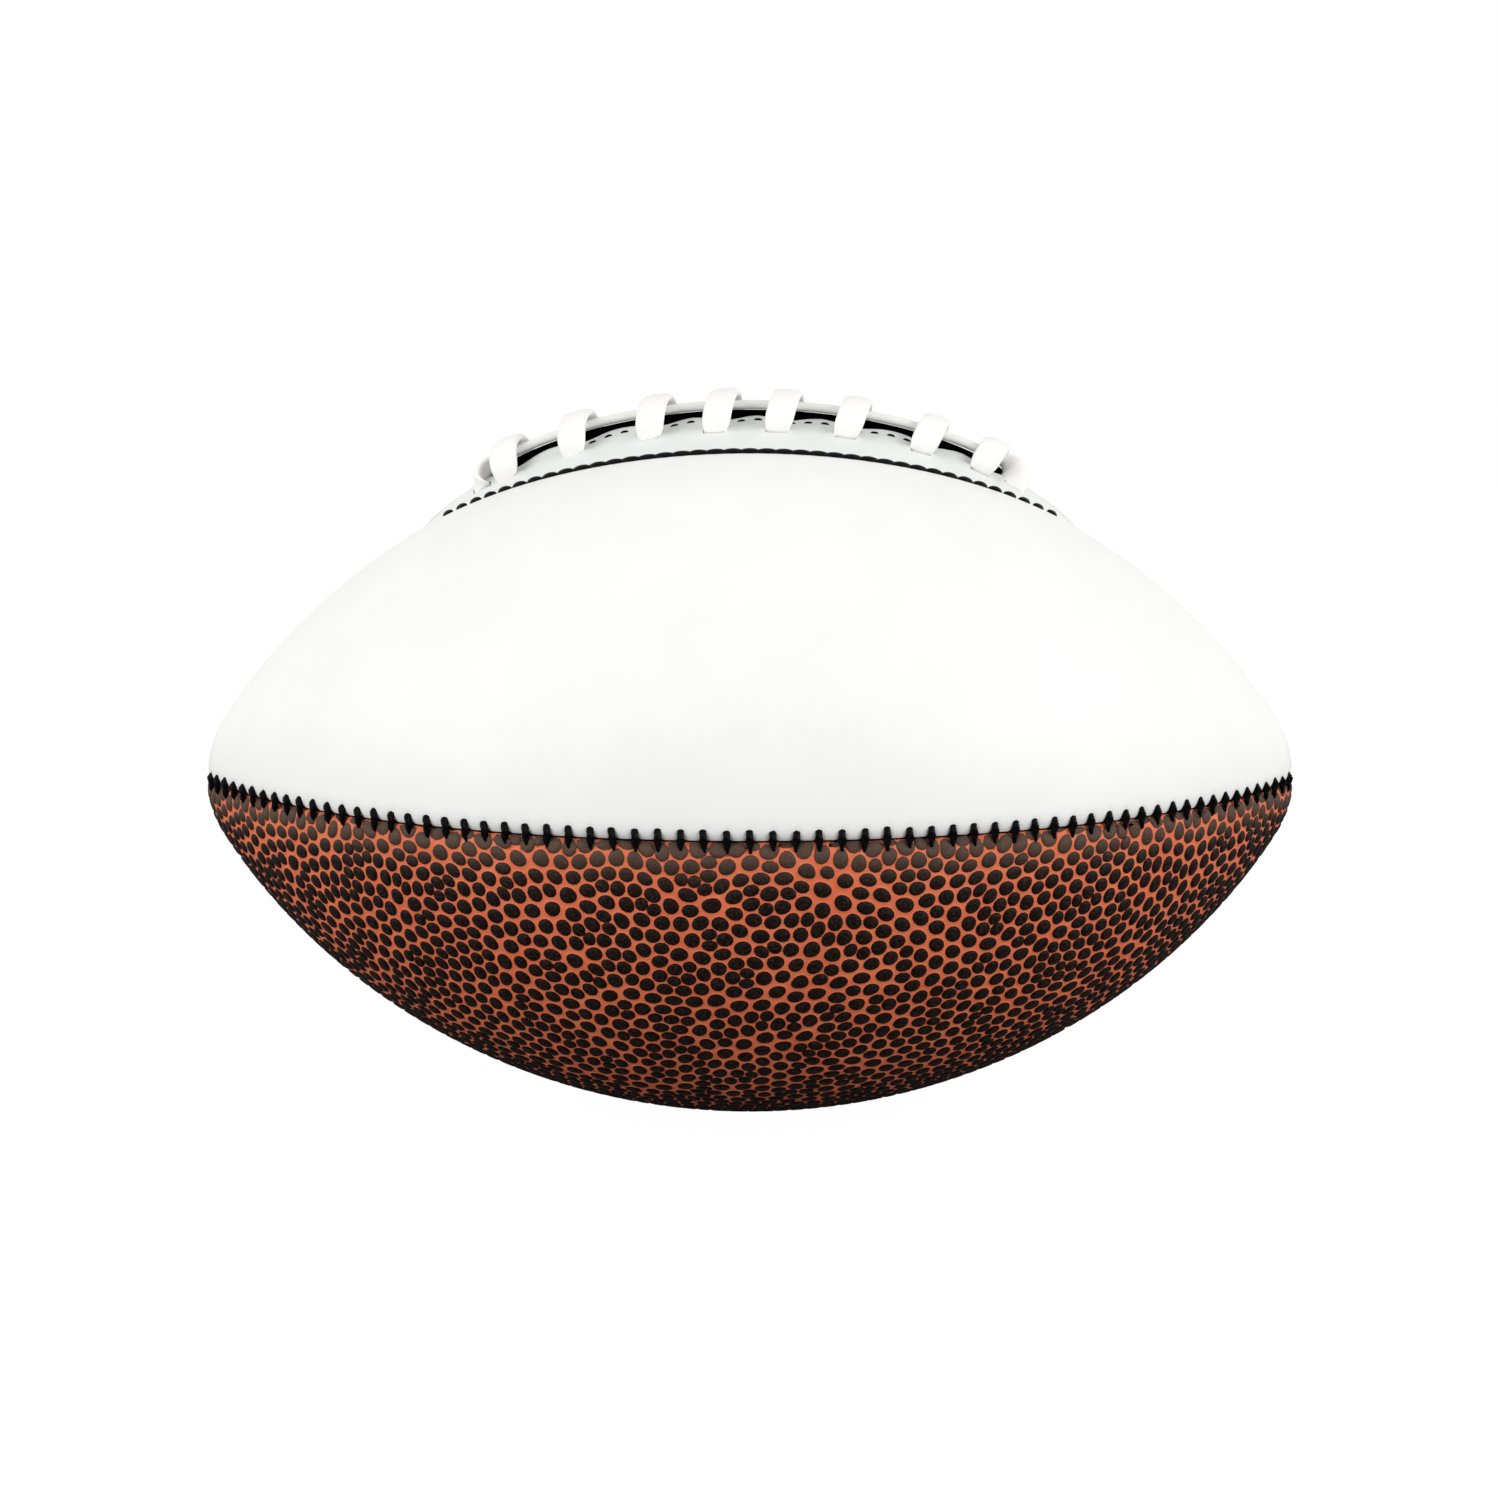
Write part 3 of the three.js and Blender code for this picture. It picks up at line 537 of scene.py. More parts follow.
# Painted highlight: the pebbles next to a seam are painted paler.
painted_seam_highlight = add(tree, "ShaderNodeAttribute", {}, attribute_name="painted_seam_highlight")
grain_and_crown_highlight = add(tree, "ShaderNodeMath", {0: grain.outputs[0], 1: crown.outputs["Fac"]}, operation="MULTIPLY")
pale = add(tree, "ShaderNodeMath", {0: painted_seam_highlight.outputs["Fac"], 1: PAINTED_HIGHLIGHT_SHARE, 2: grain_and_crown_highlight.outputs[0]},
           operation="MULTIPLY_ADD", use_clamp=True)
tone = add(tree, "ShaderNodeMix", {"Factor": pale.outputs[0], FIRST_COLOUR: linear("#0f0604"),
                                   SECOND_COLOUR: linear("#7d6355")}, data_type="RGBA")
tree.links.new(tone.outputs[MIXED_COLOUR], shader.inputs["Base Color"])
bump = add(tree, "ShaderNodeBump", {"Height": speck.outputs["Fac"], "Strength": 0.4, "Distance": 0.12 * MM})
tree.links.new(bump.outputs[0], shader.inputs["Normal"])
print("finishes:", rust_ground.name, dark_pebble.name)

# %% [markdown]
# ## A layout of pebbles
# Pebbles pack like soap bubbles: mostly six neighbours, some five or seven, none in line for long. Seeds
# are thrown like darts, and one that lands too near another is taken back. Then they are evened out: each
# moves to the middle of the triangles round it, a few times over, and one with only four neighbours is left
# out. The cells between the seeds are the pebbles. The triangles come from Blender's Delaunay function, on
# a map of the ball that keeps circles round, or the pebbles would shear towards the points.

# %% Layout map
PEBBLE_PITCH = 3.05 * MM
LAYOUT_MARGIN = 2.6 * PEBBLE_PITCH
LEAST_LAYOUT_RADIUS = 10 * MM
ARC_STEPS = 4000
MAP_TOLERANCE = 1e-9


def layout_radius(s):
    return np.maximum(meridian(s)[1], LEAST_LAYOUT_RADIUS)


arc = np.linspace(0, cover_end + LAYOUT_MARGIN, ARC_STEPS)
arc_map = np.concatenate([[0], np.cumsum(np.diff(arc) / layout_radius(arc[1:]))])


def triangles_between(seeds):
    around = seeds[:, 1] / layout_radius(seeds[:, 0])
    along = np.sign(seeds[:, 0]) * np.interp(np.abs(seeds[:, 0]), arc, arc_map)
    return np.array(delaunay_2d_cdt(list(zip(along, around)), [], [], 0, MAP_TOLERANCE)[2])


# %% Seeds
SEED_ROOM = 0.76 * PEBBLE_PITCH
DARTS = 60000
half_quarter = QUARTER / 2


def throw_seeds(rng):
    """Seeds at random places, none nearer to another than the seed room."""
    reach = (cover_end + LAYOUT_MARGIN, belly * half_quarter + LAYOUT_MARGIN)
    darts = rng.uniform(-1, 1, (DARTS, 2)) * reach
    darts = darts[np.abs(darts[:, 1]) < meridian(darts[:, 0])[1] * half_quarter + LAYOUT_MARGIN]
    seeds = np.empty_like(darts)
    count = 0
    for dart in darts:
        if np.hypot(*(seeds[:count] - dart).T).min(initial=belly) > SEED_ROOM:
            seeds[count] = dart
            count += 1
    return seeds[:count]


# %% Even layout
LAYOUT_ROUNDS = 7
FREE_MARGIN = 1.4 * PEBBLE_PITCH
LEAST_NEIGHBOURS = 5


def even_out(seeds, pinned):
    """Moves each free seed to the middle of the triangles round it, by area, and drops crowded ones."""
    for _ in range(LAYOUT_ROUNDS):
        faces = triangles_between(seeds)
        a, b, c = seeds[faces].transpose(1, 0, 2)
        area = np.abs((b - a)[:, 0] * (c - a)[:, 1] - (b - a)[:, 1] * (c - a)[:, 0])
        middle = (a + b + c) / 3
        weight = np.bincount(faces.ravel(), np.repeat(area, 3), len(seeds))
        pulls = [np.bincount(faces.ravel(), np.repeat(area * column, 3), len(seeds)) for column in middle.T]
        target = np.column_stack(pulls) / weight[:, None]
        s, y = seeds.T
        inside = np.abs(y) < meridian(s)[1] * half_quarter + FREE_MARGIN
        free = inside & (np.abs(s) < cover_end + FREE_MARGIN) & ~pinned
        seeds[free] = target[free]
        crowded = free & (np.bincount(faces.ravel(), minlength=len(seeds)) < LEAST_NEIGHBOURS)
        seeds, pinned = seeds[~crowded], pinned[~crowded]
    return seeds


# %% Pebble cells
CELL_REACH = 1.8 * PEBBLE_PITCH


def pebble_cells(seeds):
    """The cells round the seeds: corners in the middle of each triangle, and a ring of them for each seed.

    The seeds on the margin, whose triangles reach too far, get none.
    """
    faces = triangles_between(seeds)
    corners = seeds[faces].mean(axis=1)
    touching = [[] for _ in seeds]
    for k, face in enumerate(faces):
        for seed in face:
            touching[seed].append(k)
    cells = {}
    for seed, ring in enumerate(touching):
        spokes = corners[ring] - seeds[seed]
        if len(ring) > 2 and np.hypot(*spokes.T).max() < CELL_REACH:
            cells[seed] = [ring[k] for k in np.argsort(np.arctan2(*spokes.T[::-1]))]
    return corners, cells


# %% [markdown]
# ## Brown panels
# On the bench the cells are trimmed along the panel's outline with Bisect, as with a knife along a pattern.
# A bevel cuts their corners, and an inset leaves the ground between them. Each outline is then smoothed and
# drawn towards a common size, because embossed pebbles are round and much alike, and two more insets that
# rise make it a dome. The rim is pulled down by the leather's thickness and closed underneath, and the
# whole is wrapped. An image could fake this as bump, but the pebbles have to show on the skyline too.

# %% Port for the valve
VALVE_RADIUS = 5 * MM
PORT_CLEARANCE = 0.3 * MM
PORT_PEBBLES = 12
PORT_STEP = 1.35 * MM
PORT_ROOM = 0.7 * PEBBLE_PITCH

port_radius = VALVE_RADIUS + PORT_CLEARANCE


def ring_port(seeds):
    """Two rings of seeds on either side of the port's edge, and the other seeds kept out of it."""
    angle = 4 * QUARTER * np.arange(PORT_PEBBLES) / PORT_PEBBLES
    ring = np.column_stack([np.cos(angle), np.sin(angle)])
    away = seeds[np.hypot(*seeds.T) > port_radius + PORT_STEP + PORT_ROOM]
    return np.concatenate([ring * (port_radius - PORT_STEP), ring * (port_radius + PORT_STEP), away])


def open_port(corners, cells):
    """Leaves out the cells inside the port and draws the corners on its edge to a circle."""
    for seed in range(PORT_PEBBLES):
        del cells[seed]
    distance = np.hypot(*corners.T)
    on_edge = np.abs(distance - port_radius) < PORT_STEP / 2
    corners[on_edge] *= (port_radius / distance[on_edge])[:, None]


print(f"port {2 * port_radius / MM:.1f} mm across")

# %% Trimming
TRIM_STEPS = 44
LEAST_SIDE = 0.15 * MM
CUT_TOLERANCE = 1e-7


def panel_half_width(s):
    return meridian(s)[1] * half_quarter - SEAM_GAP * squeeze_at(meridian(s)[1] * QUARTER)


def trim(panel):
    """Cuts the sheet along both curved edges and across its two ends."""
    stations = cover_end * np.sin(np.linspace(-QUARTER, QUARTER, TRIM_STEPS + 1))
    edge = panel_half_width(stations)
    edit(panel, "FACE", "SELECT")
    for side in (1, -1):
        for k in range(TRIM_STEPS):
            ds, dy = stations[k + 1] - stations[k], edge[k + 1] - edge[k]
            bpy.ops.mesh.select_all(action="SELECT")
            bpy.ops.mesh.bisect(plane_co=(stations[k], side * edge[k], 0), plane_no=(-dy, side * ds, 0),
                                clear_outer=True, threshold=CUT_TOLERANCE)
        bpy.ops.mesh.select_all(action="SELECT")
        bpy.ops.mesh.bisect(plane_co=(side * cover_end, 0, 0), plane_no=(side, 0, 0), clear_outer=True,
                            threshold=CUT_TOLERANCE)
    bpy.ops.mesh.select_all(action="SELECT")
    bpy.ops.mesh.remove_doubles(threshold=LEAST_SIDE)
    bpy.ops.mesh.select_all(action="SELECT")
    bpy.ops.mesh.delete_loose()


# %% Rounding the pebbles
PEBBLE_RADIUS = 1.44 * MM
PEBBLE_GROWTH = 0.12 * MM
LEAST_LENGTH = 1e-9
GROUND_SLOT = 0
PEBBLE_SLOT = 1


def face_rooms(piece):
    """The distance from each face's middle to its nearest side."""
    mesh = piece.data
    corner, start = np.empty(len(mesh.loops), int), np.empty(len(mesh.polygons), int)
    mesh.loops.foreach_get("vertex_index", corner)
    mesh.polygons.foreach_get("loop_start", start)
    following = np.arange(1, len(corner) + 1)
    following[np.append(start[1:], len(corner)) - 1] = start
    here = points_of(piece)[corner]
    side = here[following] - here
    total = np.diff(np.append(start, len(corner)))
    to_middle = np.repeat(np.add.reduceat(here, start) / total[:, None], total, axis=0) - here
    length = np.linalg.norm(side, axis=1) + LEAST_LENGTH
    distance = np.linalg.norm(np.cross(side, to_middle), axis=1) / length
    return np.minimum.reduceat(distance, start)


def is_pebble(piece):
    index = np.empty(len(piece.data.polygons), int)
    piece.data.polygons.foreach_get("material_index", index)
    return index == PEBBLE_SLOT


def round_off(panel):
    """Smooths the outline of each pebble and draws its size half way to the common one."""
    points = points_of(panel)
    for face in panel.data.polygons:
        if face.material_index == PEBBLE_SLOT:
            ring = list(face.vertices)
            outline = points[ring]
            centre = outline.mean(axis=0)
            size = np.linalg.norm(outline - centre, axis=1).mean()
            outline = outline / 2 + (np.roll(outline, 1, axis=0) + np.roll(outline, -1, axis=0)) / 4
            reach = np.linalg.norm(outline - centre, axis=1).mean()
            wanted = min(math.sqrt(size * PEBBLE_RADIUS), size + PEBBLE_GROWTH)
            points[ring] = centre + (outline - centre) * wanted / reach
    lay(panel, lambda bench: points)


# %% Embossing
ROOM_STEPS = np.array([1.35, 1.5, 1.65, 1.8, 2.0]) * MM
ROOM_JITTER = 0.1 * MM
ROOM_MARGIN = 1.6
GROUND_WIDTHS = np.array([0.3, 0.42, 0.56, 0.72, 0.96, 1.24]) * MM
PEBBLE_STEPS = ((0.22 * MM, 0.22 * MM), (0.42 * MM, 0.12 * MM))
CORNER_CUT_PERCENT = 21


def emboss(panel, rng):
    """Raises a dome from each cell that has the room. A large cell leaves more ground, to even the domes."""
    edit(panel, "VERT", "DESELECT")
    bpy.ops.mesh.select_non_manifold()
    bpy.ops.mesh.select_all(action="INVERT")
    bpy.ops.mesh.bevel(offset_type="PERCENT", offset_pct=CORNER_CUT_PERCENT, affect="VERTICES")
    only(panel)
    rooms = face_rooms(panel)
    group = np.digitize(rooms + rng.normal(0, ROOM_JITTER, len(rooms)), ROOM_STEPS)
    for k, width in enumerate(GROUND_WIDTHS):
        chosen = np.zeros(len(panel.data.polygons), bool)
        chosen[:len(rooms)] = (group == k) & (rooms > ROOM_MARGIN * width / 2)
        pick_faces(panel, lambda centres: chosen)
        bpy.ops.mesh.inset(use_individual=True, thickness=width / 2, use_even_offset=False)
        panel.active_material_index = PEBBLE_SLOT
        bpy.ops.object.material_slot_assign()
        only(panel)
    round_off(panel)
    for thickness, depth in PEBBLE_STEPS:
        pick_faces(panel, lambda centres: is_pebble(panel) & (face_rooms(panel) > ROOM_MARGIN * thickness))
        bpy.ops.mesh.inset(use_individual=True, thickness=thickness, depth=depth, use_even_offset=False)


# %% Underside
UNDERSIDE_COLUMNS = 36
UNDERSIDE_ROWS = 8
UNDERSIDE_SHARE = 0.99


def back(panel):
    """Pulls the rim down by the leather's thickness and closes the underside with a coarse sheet."""
    edit(panel, "EDGE", "DESELECT")
    bpy.ops.mesh.select_non_manifold()
    bpy.ops.mesh.extrude_edges_move(TRANSFORM_OT_translate={"value": (0, 0, -COVER_THICKNESS)})
    bpy.ops.mesh.fill(use_beauty=True)
    panel.active_material_index = GROUND_SLOT
    bpy.ops.object.material_slot_assign()
    columns = cover_end * (2 * np.arange(1, UNDERSIDE_COLUMNS) / UNDERSIDE_COLUMNS - 1)
    rows = belly * half_quarter * (2 * np.arange(1, UNDERSIDE_ROWS) / UNDERSIDE_ROWS - 1)
    cuts = [((s, 0, 0), (1, 0, 0)) for s in columns] + [((0, y, 0), (0, 1, 0)) for y in rows]
    for point, normal in cuts:
        pick_faces(panel, lambda centres: centres[:, 2] < -UNDERSIDE_SHARE * COVER_THICKNESS)
        bpy.ops.mesh.bisect(plane_co=point, plane_no=normal, threshold=CUT_TOLERANCE)


# %% Brown panels
STRETCH_GAIN = 0.28
PORT_ROLL = 1.2 * MM
PORT_ROLL_DEPTH = 0.5 * MM
FRONT_LAYOUT_SEED = 11
REAR_LAYOUT_SEED = 12

front_lower_middle = 3 * half_quarter
rear_lower_middle = 5 * half_quarter


def wrap_pebbles(turn, has_port):
    def where(bench):
        s, y, height = bench.T
        radius = meridian(s)[1]
        squeeze = squeeze_at(radius * QUARTER)
        away = np.maximum(radius * half_quarter - np.abs(y), 0)
        away = away * (1 + STRETCH_GAIN * np.exp(-((away / STRETCH_AND_HIGHLIGHT_REACH) ** 2)))
        y = np.sign(y) * (radius * half_quarter - away)
        notch, slide = stitch_pull(s, away, long_stitches)
        drop = (shoulder(away / squeeze) - notch) * squeeze
        if has_port:
            drop = drop + shoulder(np.hypot(s, y) - port_radius, PORT_ROLL_DEPTH, PORT_ROLL)
        return place(s, turn - (y - np.sign(y) * slide * squeeze) / radius, drop + height)
    return where


def brown_panel(name, turn, seed, has_port):
    rng = np.random.default_rng(seed)
    seeds = throw_seeds(rng)
    if has_port:
        seeds = ring_port(seeds)
    pinned = (np.arange(len(seeds)) < 2 * PORT_PEBBLES) & has_port
    corners, cells = pebble_cells(even_out(seeds, pinned))
    if has_port:
        open_port(corners, cells)
    mesh = bpy.data.meshes.new(name + "_leather")
    mesh.from_pydata(np.column_stack([corners, np.zeros(len(corners))]), [], list(cells.values()))
    panel = bpy.data.objects.new(name + "_leather", mesh)
    bpy.context.scene.collection.objects.link(panel)
    mesh.materials.append(rust_ground)
    mesh.materials.append(dark_pebble)
    trim(panel)
    emboss(panel, rng)
    back(panel)
    only(panel)
    s, y, height = points_of(panel).T
    away = np.maximum(meridian(s)[1] * half_quarter - np.abs(y), 0)
    # crown is each pebble's height; the other mark is a painted highlight, paler next to a seam.
    marks = {
        "crown": np.clip(height / sum(depth for _, depth in PEBBLE_STEPS), 0, 1),
        "painted_seam_highlight": np.exp(-((away / STRETCH_AND_HIGHLIGHT_REACH) ** 2)),
    }
    for mark, values in marks.items():
        mesh.attributes.new(mark, "FLOAT", "POINT").data.foreach_set("value", values.astype(np.float32))
    lay(panel, wrap_pebbles(turn, has_port))
    wear(panel, "brown_cover")
    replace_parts(panel, name)
    print(f"{name}: {len(cells)} cells")


brown_panel("panel_front_lower", front_lower_middle, FRONT_LAYOUT_SEED, False)
brown_panel("panel_rear_lower", rear_lower_middle, REAR_LAYOUT_SEED, True)

# %% [markdown]
# ## Thread
# The seams are sewn with waxed polyester: two plies twisted together, black, with a dull gleam along the
# ply. One stitch is drawn out of an eight-sided oval: each extrusion moves it on, turns it a little and
# changes its size, so that the plies wind and both ends taper into their holes. Copies of it cross each
# seam, and a plain strand lies in the valley under them.

# %% Thread finish
THREAD_FUZZ = 0.25 * MM

black_thread, tree, shader = new_finish("black_waxed_thread", 0.36, Specular_IOR_Level=0.06)
at = add(tree, "ShaderNodeTexCoord", {}).outputs["Object"]
fuzz = add(tree, "ShaderNodeTexNoise", {"Vector": at, "Scale": 1 / THREAD_FUZZ, "Detail": 2.0})
tone = add(tree, "ShaderNodeMix", {"Factor": fuzz.outputs["Fac"], FIRST_COLOUR: linear("#020203"),
                                   SECOND_COLOUR: linear("#0c0c0f")}, data_type="RGBA")
tree.links.new(tone.outputs[MIXED_COLOUR], shader.inputs["Base Color"])
bump = add(tree, "ShaderNodeBump", {"Height": fuzz.outputs["Fac"], "Strength": 0.4, "Distance": 0.06 * MM})
tree.links.new(bump.outputs[0], shader.inputs["Normal"])
print("finish:", black_thread.name)

# %% One stitch
STITCH_SIDES = 8
STITCH_STEPS = 10
STITCH_TWIST = math.radians(38)
PLY_FLATTENING = 0.72
LEAST_GIRTH = 0.24
FULLEST = 0.35
UPPER_TAPER = 0.5
LOWER_CURVE = 1.3


def spindle(y):
    """A stitch's thickness along it: fullest above its middle, blunt at its top and fine at its foot."""
    above, below = max(0, y - FULLEST) / (1 - FULLEST), max(0, FULLEST - y) / (1 + FULLEST)
    return 1 - UPPER_TAPER * above**2 - (1 - LEAST_GIRTH) * below**LOWER_CURVE


def lens(y):
    return max(LEAST_GIRTH, math.sqrt(1 - y * y))


def twisted_stitch(name, half_length, thickness, twist, girth):
    """A stitch along Y on the bench."""
    bpy.ops.object.select_all(action="DESELECT")
    bpy.ops.mesh.primitive_circle_add(vertices=STITCH_SIDES, radius=thickness / 2, fill_type="NGON",
                                      location=(0, -half_length, 0), rotation=(QUARTER, 0, 0))
    stitch = bpy.context.object
    stitch.name = name
    bpy.ops.object.transform_apply(location=True, rotation=True)
    edit(stitch, "FACE", "SELECT")
    start = (0, -half_length, 0)
    bpy.ops.transform.resize(value=(girth(-1), 1, girth(-1) * PLY_FLATTENING), center_override=start)
    stops = np.linspace(-1, 1, STITCH_STEPS + 1)
    for before, here in zip(stops, stops[1:]):
        step = (here - before) * half_length
        bpy.ops.mesh.extrude_region_move(TRANSFORM_OT_translate={"value": (0, step, 0)})
        middle = (0, here * half_length, 0)
        growth = girth(here) / girth(before)
        bpy.ops.transform.resize(value=(growth, 1, growth), center_override=middle)
        bpy.ops.transform.rotate(value=twist, orient_axis="Y", center_override=middle)
    bpy.ops.mesh.select_all(action="SELECT")
    bpy.ops.mesh.normals_make_consistent(inside=False)
    only(stitch)
    return stitch


# %% Sewing
WELD = 0.001 * MM


def sew(name, stitch, wheres, strand):
    """Lays a copy of the stitch at each place, and joins the copies and the strand into one thread."""
    copies = [strand]
    for where in wheres:
        copy = stitch.copy()
        copy.data = stitch.data.copy()
        bpy.context.scene.collection.objects.link(copy)
        copies.append(lay(copy, where))
    only(strand)
    for copy in copies:
        copy.select_set(True)
    bpy.ops.object.join()
    edit(strand, "FACE", "SELECT")
    bpy.ops.mesh.normals_make_consistent(inside=False)
    strand.name = strand.data.name = name
    return wear(strand, "seam_thread", black_thread)


def rolled(name, columns, sides, where):
    """A closed tube: a grid whose rows are rolled round, with both ends filled."""
    tube = bench_grid(name, columns, sides)
    lay(tube, where)
    edit(tube, "VERT", "SELECT")
    bpy.ops.mesh.remove_doubles(threshold=WELD)
    bpy.ops.mesh.select_all(action="DESELECT")
    bpy.ops.mesh.select_non_manifold()
    bpy.ops.mesh.edge_face_add()
    bpy.ops.mesh.select_all(action="SELECT")
    bpy.ops.mesh.normals_make_consistent(inside=False)
    only(tube)
    return tube


# %% Seam threads
STITCH_REACH = 2.4 * MM
STITCH_THICKNESS = 1.75 * MM
STITCH_HEIGHT = -0.12 * MM
TOP_STITCH_HEIGHT = -0.85 * MM
STITCH_TUCK = 0.5 * MM
STITCH_LEAN = 0.05
STITCH_UNEVENNESS = 0.06
STITCH_SEED = 7
STRAND_RADIUS = 0.3 * MM
STRAND_DEPTH = 1.1 * MM
STRAND_SIDES = 6


def across_seam(s, seam, lean, length, height):
    """Lays a stitch across the valley, with its ends tucked into the leather."""
    def where(bench):
        stop = np.full(len(bench), s)
        radius = meridian(stop)[1]
        squeeze = squeeze_at(radius * QUARTER)
        tuck = STITCH_TUCK * (np.abs(bench[:, 1]) / STITCH_REACH) ** 4
        turn = seam(stop) - bench[:, 1] * length * squeeze / radius
        return place(stop + bench[:, 0] + lean * bench[:, 1], turn, bench[:, 2] + height - tuck)
    return where


def along_valley(start, end, seam, thickness, depth):
    def where(bench):
        s = start + (end - start) * (bench[:, 0] + 1) / 2
        angle = math.pi * bench[:, 1]
        turn = seam(s) - thickness * np.cos(angle) / meridian(s)[1]
        return place(s, turn, thickness * np.sin(angle) - depth)
    return where


seam_stitch = twisted_stitch("seam_stitch", STITCH_REACH, STITCH_THICKNESS, STITCH_TWIST, spindle)
seam_rows = {
    "seam_thread_front": (front_seam, long_stitches, STITCH_HEIGHT),
    "seam_thread_bottom": (bottom_seam, long_stitches, STITCH_HEIGHT),
    "seam_thread_rear": (rear_seam, long_stitches, STITCH_HEIGHT),
    "seam_thread_top_left": (top_seam, -top_stitches[::-1], TOP_STITCH_HEIGHT),
    "seam_thread_top_right": (top_seam, top_stitches, TOP_STITCH_HEIGHT),
}
rng = np.random.default_rng(STITCH_SEED)
for name, (seam, stitches, height) in seam_rows.items():
    ends = (stitches[0] - STITCH_PITCH / 2, stitches[-1] + STITCH_PITCH / 2)
    route = along_valley(*ends, seam, STRAND_RADIUS, STRAND_DEPTH)
    strand = rolled(name + "_strand", 4 * len(stitches), STRAND_SIDES, route)
    leans = rng.normal(0, STITCH_LEAN, len(stitches))
    lengths = 1 + rng.normal(0, STITCH_UNEVENNESS, len(stitches))
    places = [across_seam(s, seam, lean, length, height)
              for s, lean, length in zip(stitches, leans, lengths)]
    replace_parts(sew(name + "_stitches", seam_stitch, places, strand), name)

# %% [markdown]
# ## Lacing panel
# The two strips beside the slit are pale grey leather, black underneath and at the cut edges. Each has a
# row of slots for the lace and a rolled outer edge like the other seams. The lace draws the slit's edge down
# at every cross, so it rises in a shallow lobe between two crosses. A grid is the blank again: its rows have
# two lines on either side of the slots, so that a slot is a patch of faces to delete before the leather gets
# its thickness.

# %% Lacing leather
BACKING_WEAVE = 0.7 * MM


def woven(name, thread, gap_share, gleam, relief, *colours):
    """Cloth of two tones of thread with gaps between them. The relief is the bump's strength and depth."""
    material, tree, shader = new_finish(name, 0.9, Specular_IOR_Level=gleam)
    at = add(tree, "ShaderNodeTexCoord", {}).outputs["Object"]
    warp, weft, gap = map(linear, colours)
    weave = add(tree, "ShaderNodeTexBrick", {"Vector": at, "Scale": 1 / thread, "Mortar Size": gap_share,
                                             "Color1": warp, "Color2": weft, "Mortar": gap})
    tree.links.new(weave.outputs["Color"], shader.inputs["Base Color"])
    strength, depth = relief
    bump = add(tree, "ShaderNodeBump", {"Height": weave.outputs["Fac"], "Strength": strength,
                                        "Distance": depth})
    tree.links.new(bump.outputs[0], shader.inputs["Normal"])
    return material


strip_leather = coated("pale_grey_coated_leather", 0.44, "#e0e3e0", "#edefeb", 0.15)
black_backing = woven("black_woven_backing", BACKING_WEAVE, 0.12, 0.04, (0.3, 0.1 * MM),
                      "#060607", "#0c0c0e", "#030303")
print("finishes:", strip_leather.name, black_backing.name)

# %% Strip rows
STRIP_SHOULDER = 2 * MM
SLIT_ROUND = 0.7 * MM
SLOT_WIDTH = 1.8 * MM
ROW_KNOTS = np.array([0, 6, 15, 18, 27, 36])
STRIP_FULL_WIDTH = 9 * MM


def strip_rows(s, row):
    """The distance from the slit's middle for a row number: rows gather at the edges and line the slots."""
    slit, edge, holes = slit_edge(s), strip_edge(s), hole_row(s)
    squeeze = np.minimum(1, (edge - slit) / STRIP_FULL_WIDTH)
    knots = [slit, slit + SLIT_ROUND * squeeze, holes - SLOT_WIDTH / 2 * squeeze,
             holes + SLOT_WIDTH / 2 * squeeze, edge - STRIP_SHOULDER * squeeze, edge - SEAM_GAP * squeeze]
    t = np.zeros_like(s)
    for k in range(len(ROW_KNOTS) - 1):
        share = (row - ROW_KNOTS[k]) / (ROW_KNOTS[k + 1] - ROW_KNOTS[k])
        inside = (row >= ROW_KNOTS[k]) & (row <= ROW_KNOTS[k + 1])
        t = np.where(inside, knots[k] + share * (knots[k + 1] - knots[k]), t)
    return t


# %% Strip height
SLIT_ROUND_DEPTH = 0.45 * MM
LOBE_DIP = 0.9 * MM
LOBE_REACH = 4.5 * MM
DIP_HALF_WIDTH = 3.8 * MM
FAR_EDGE_RISE = 1.0 * MM
FAR_RISE_REACH = 4 * MM
RISE_END = 52 * MM
RISE_POWER = 12
FAR_LEAN = 1.2 * MM
LOOP_SLOTS = np.array([-52.6, 51.8]) * MM
SLOT_LENGTH = 3.9 * MM
SLOT_LIP = 0.45 * MM
LIP_REACH = 1.2 * MM
RIM_PUFF = 0.3 * MM
RIM_MIDDLE = 1.5 * MM
RIM_REACH = 1.0 * MM


def slot_places(side):
    if side > 0:
        return np.concatenate([crosses - CROSS_LEAN, LOOP_SLOTS])
    return crosses + FAR_LEAN


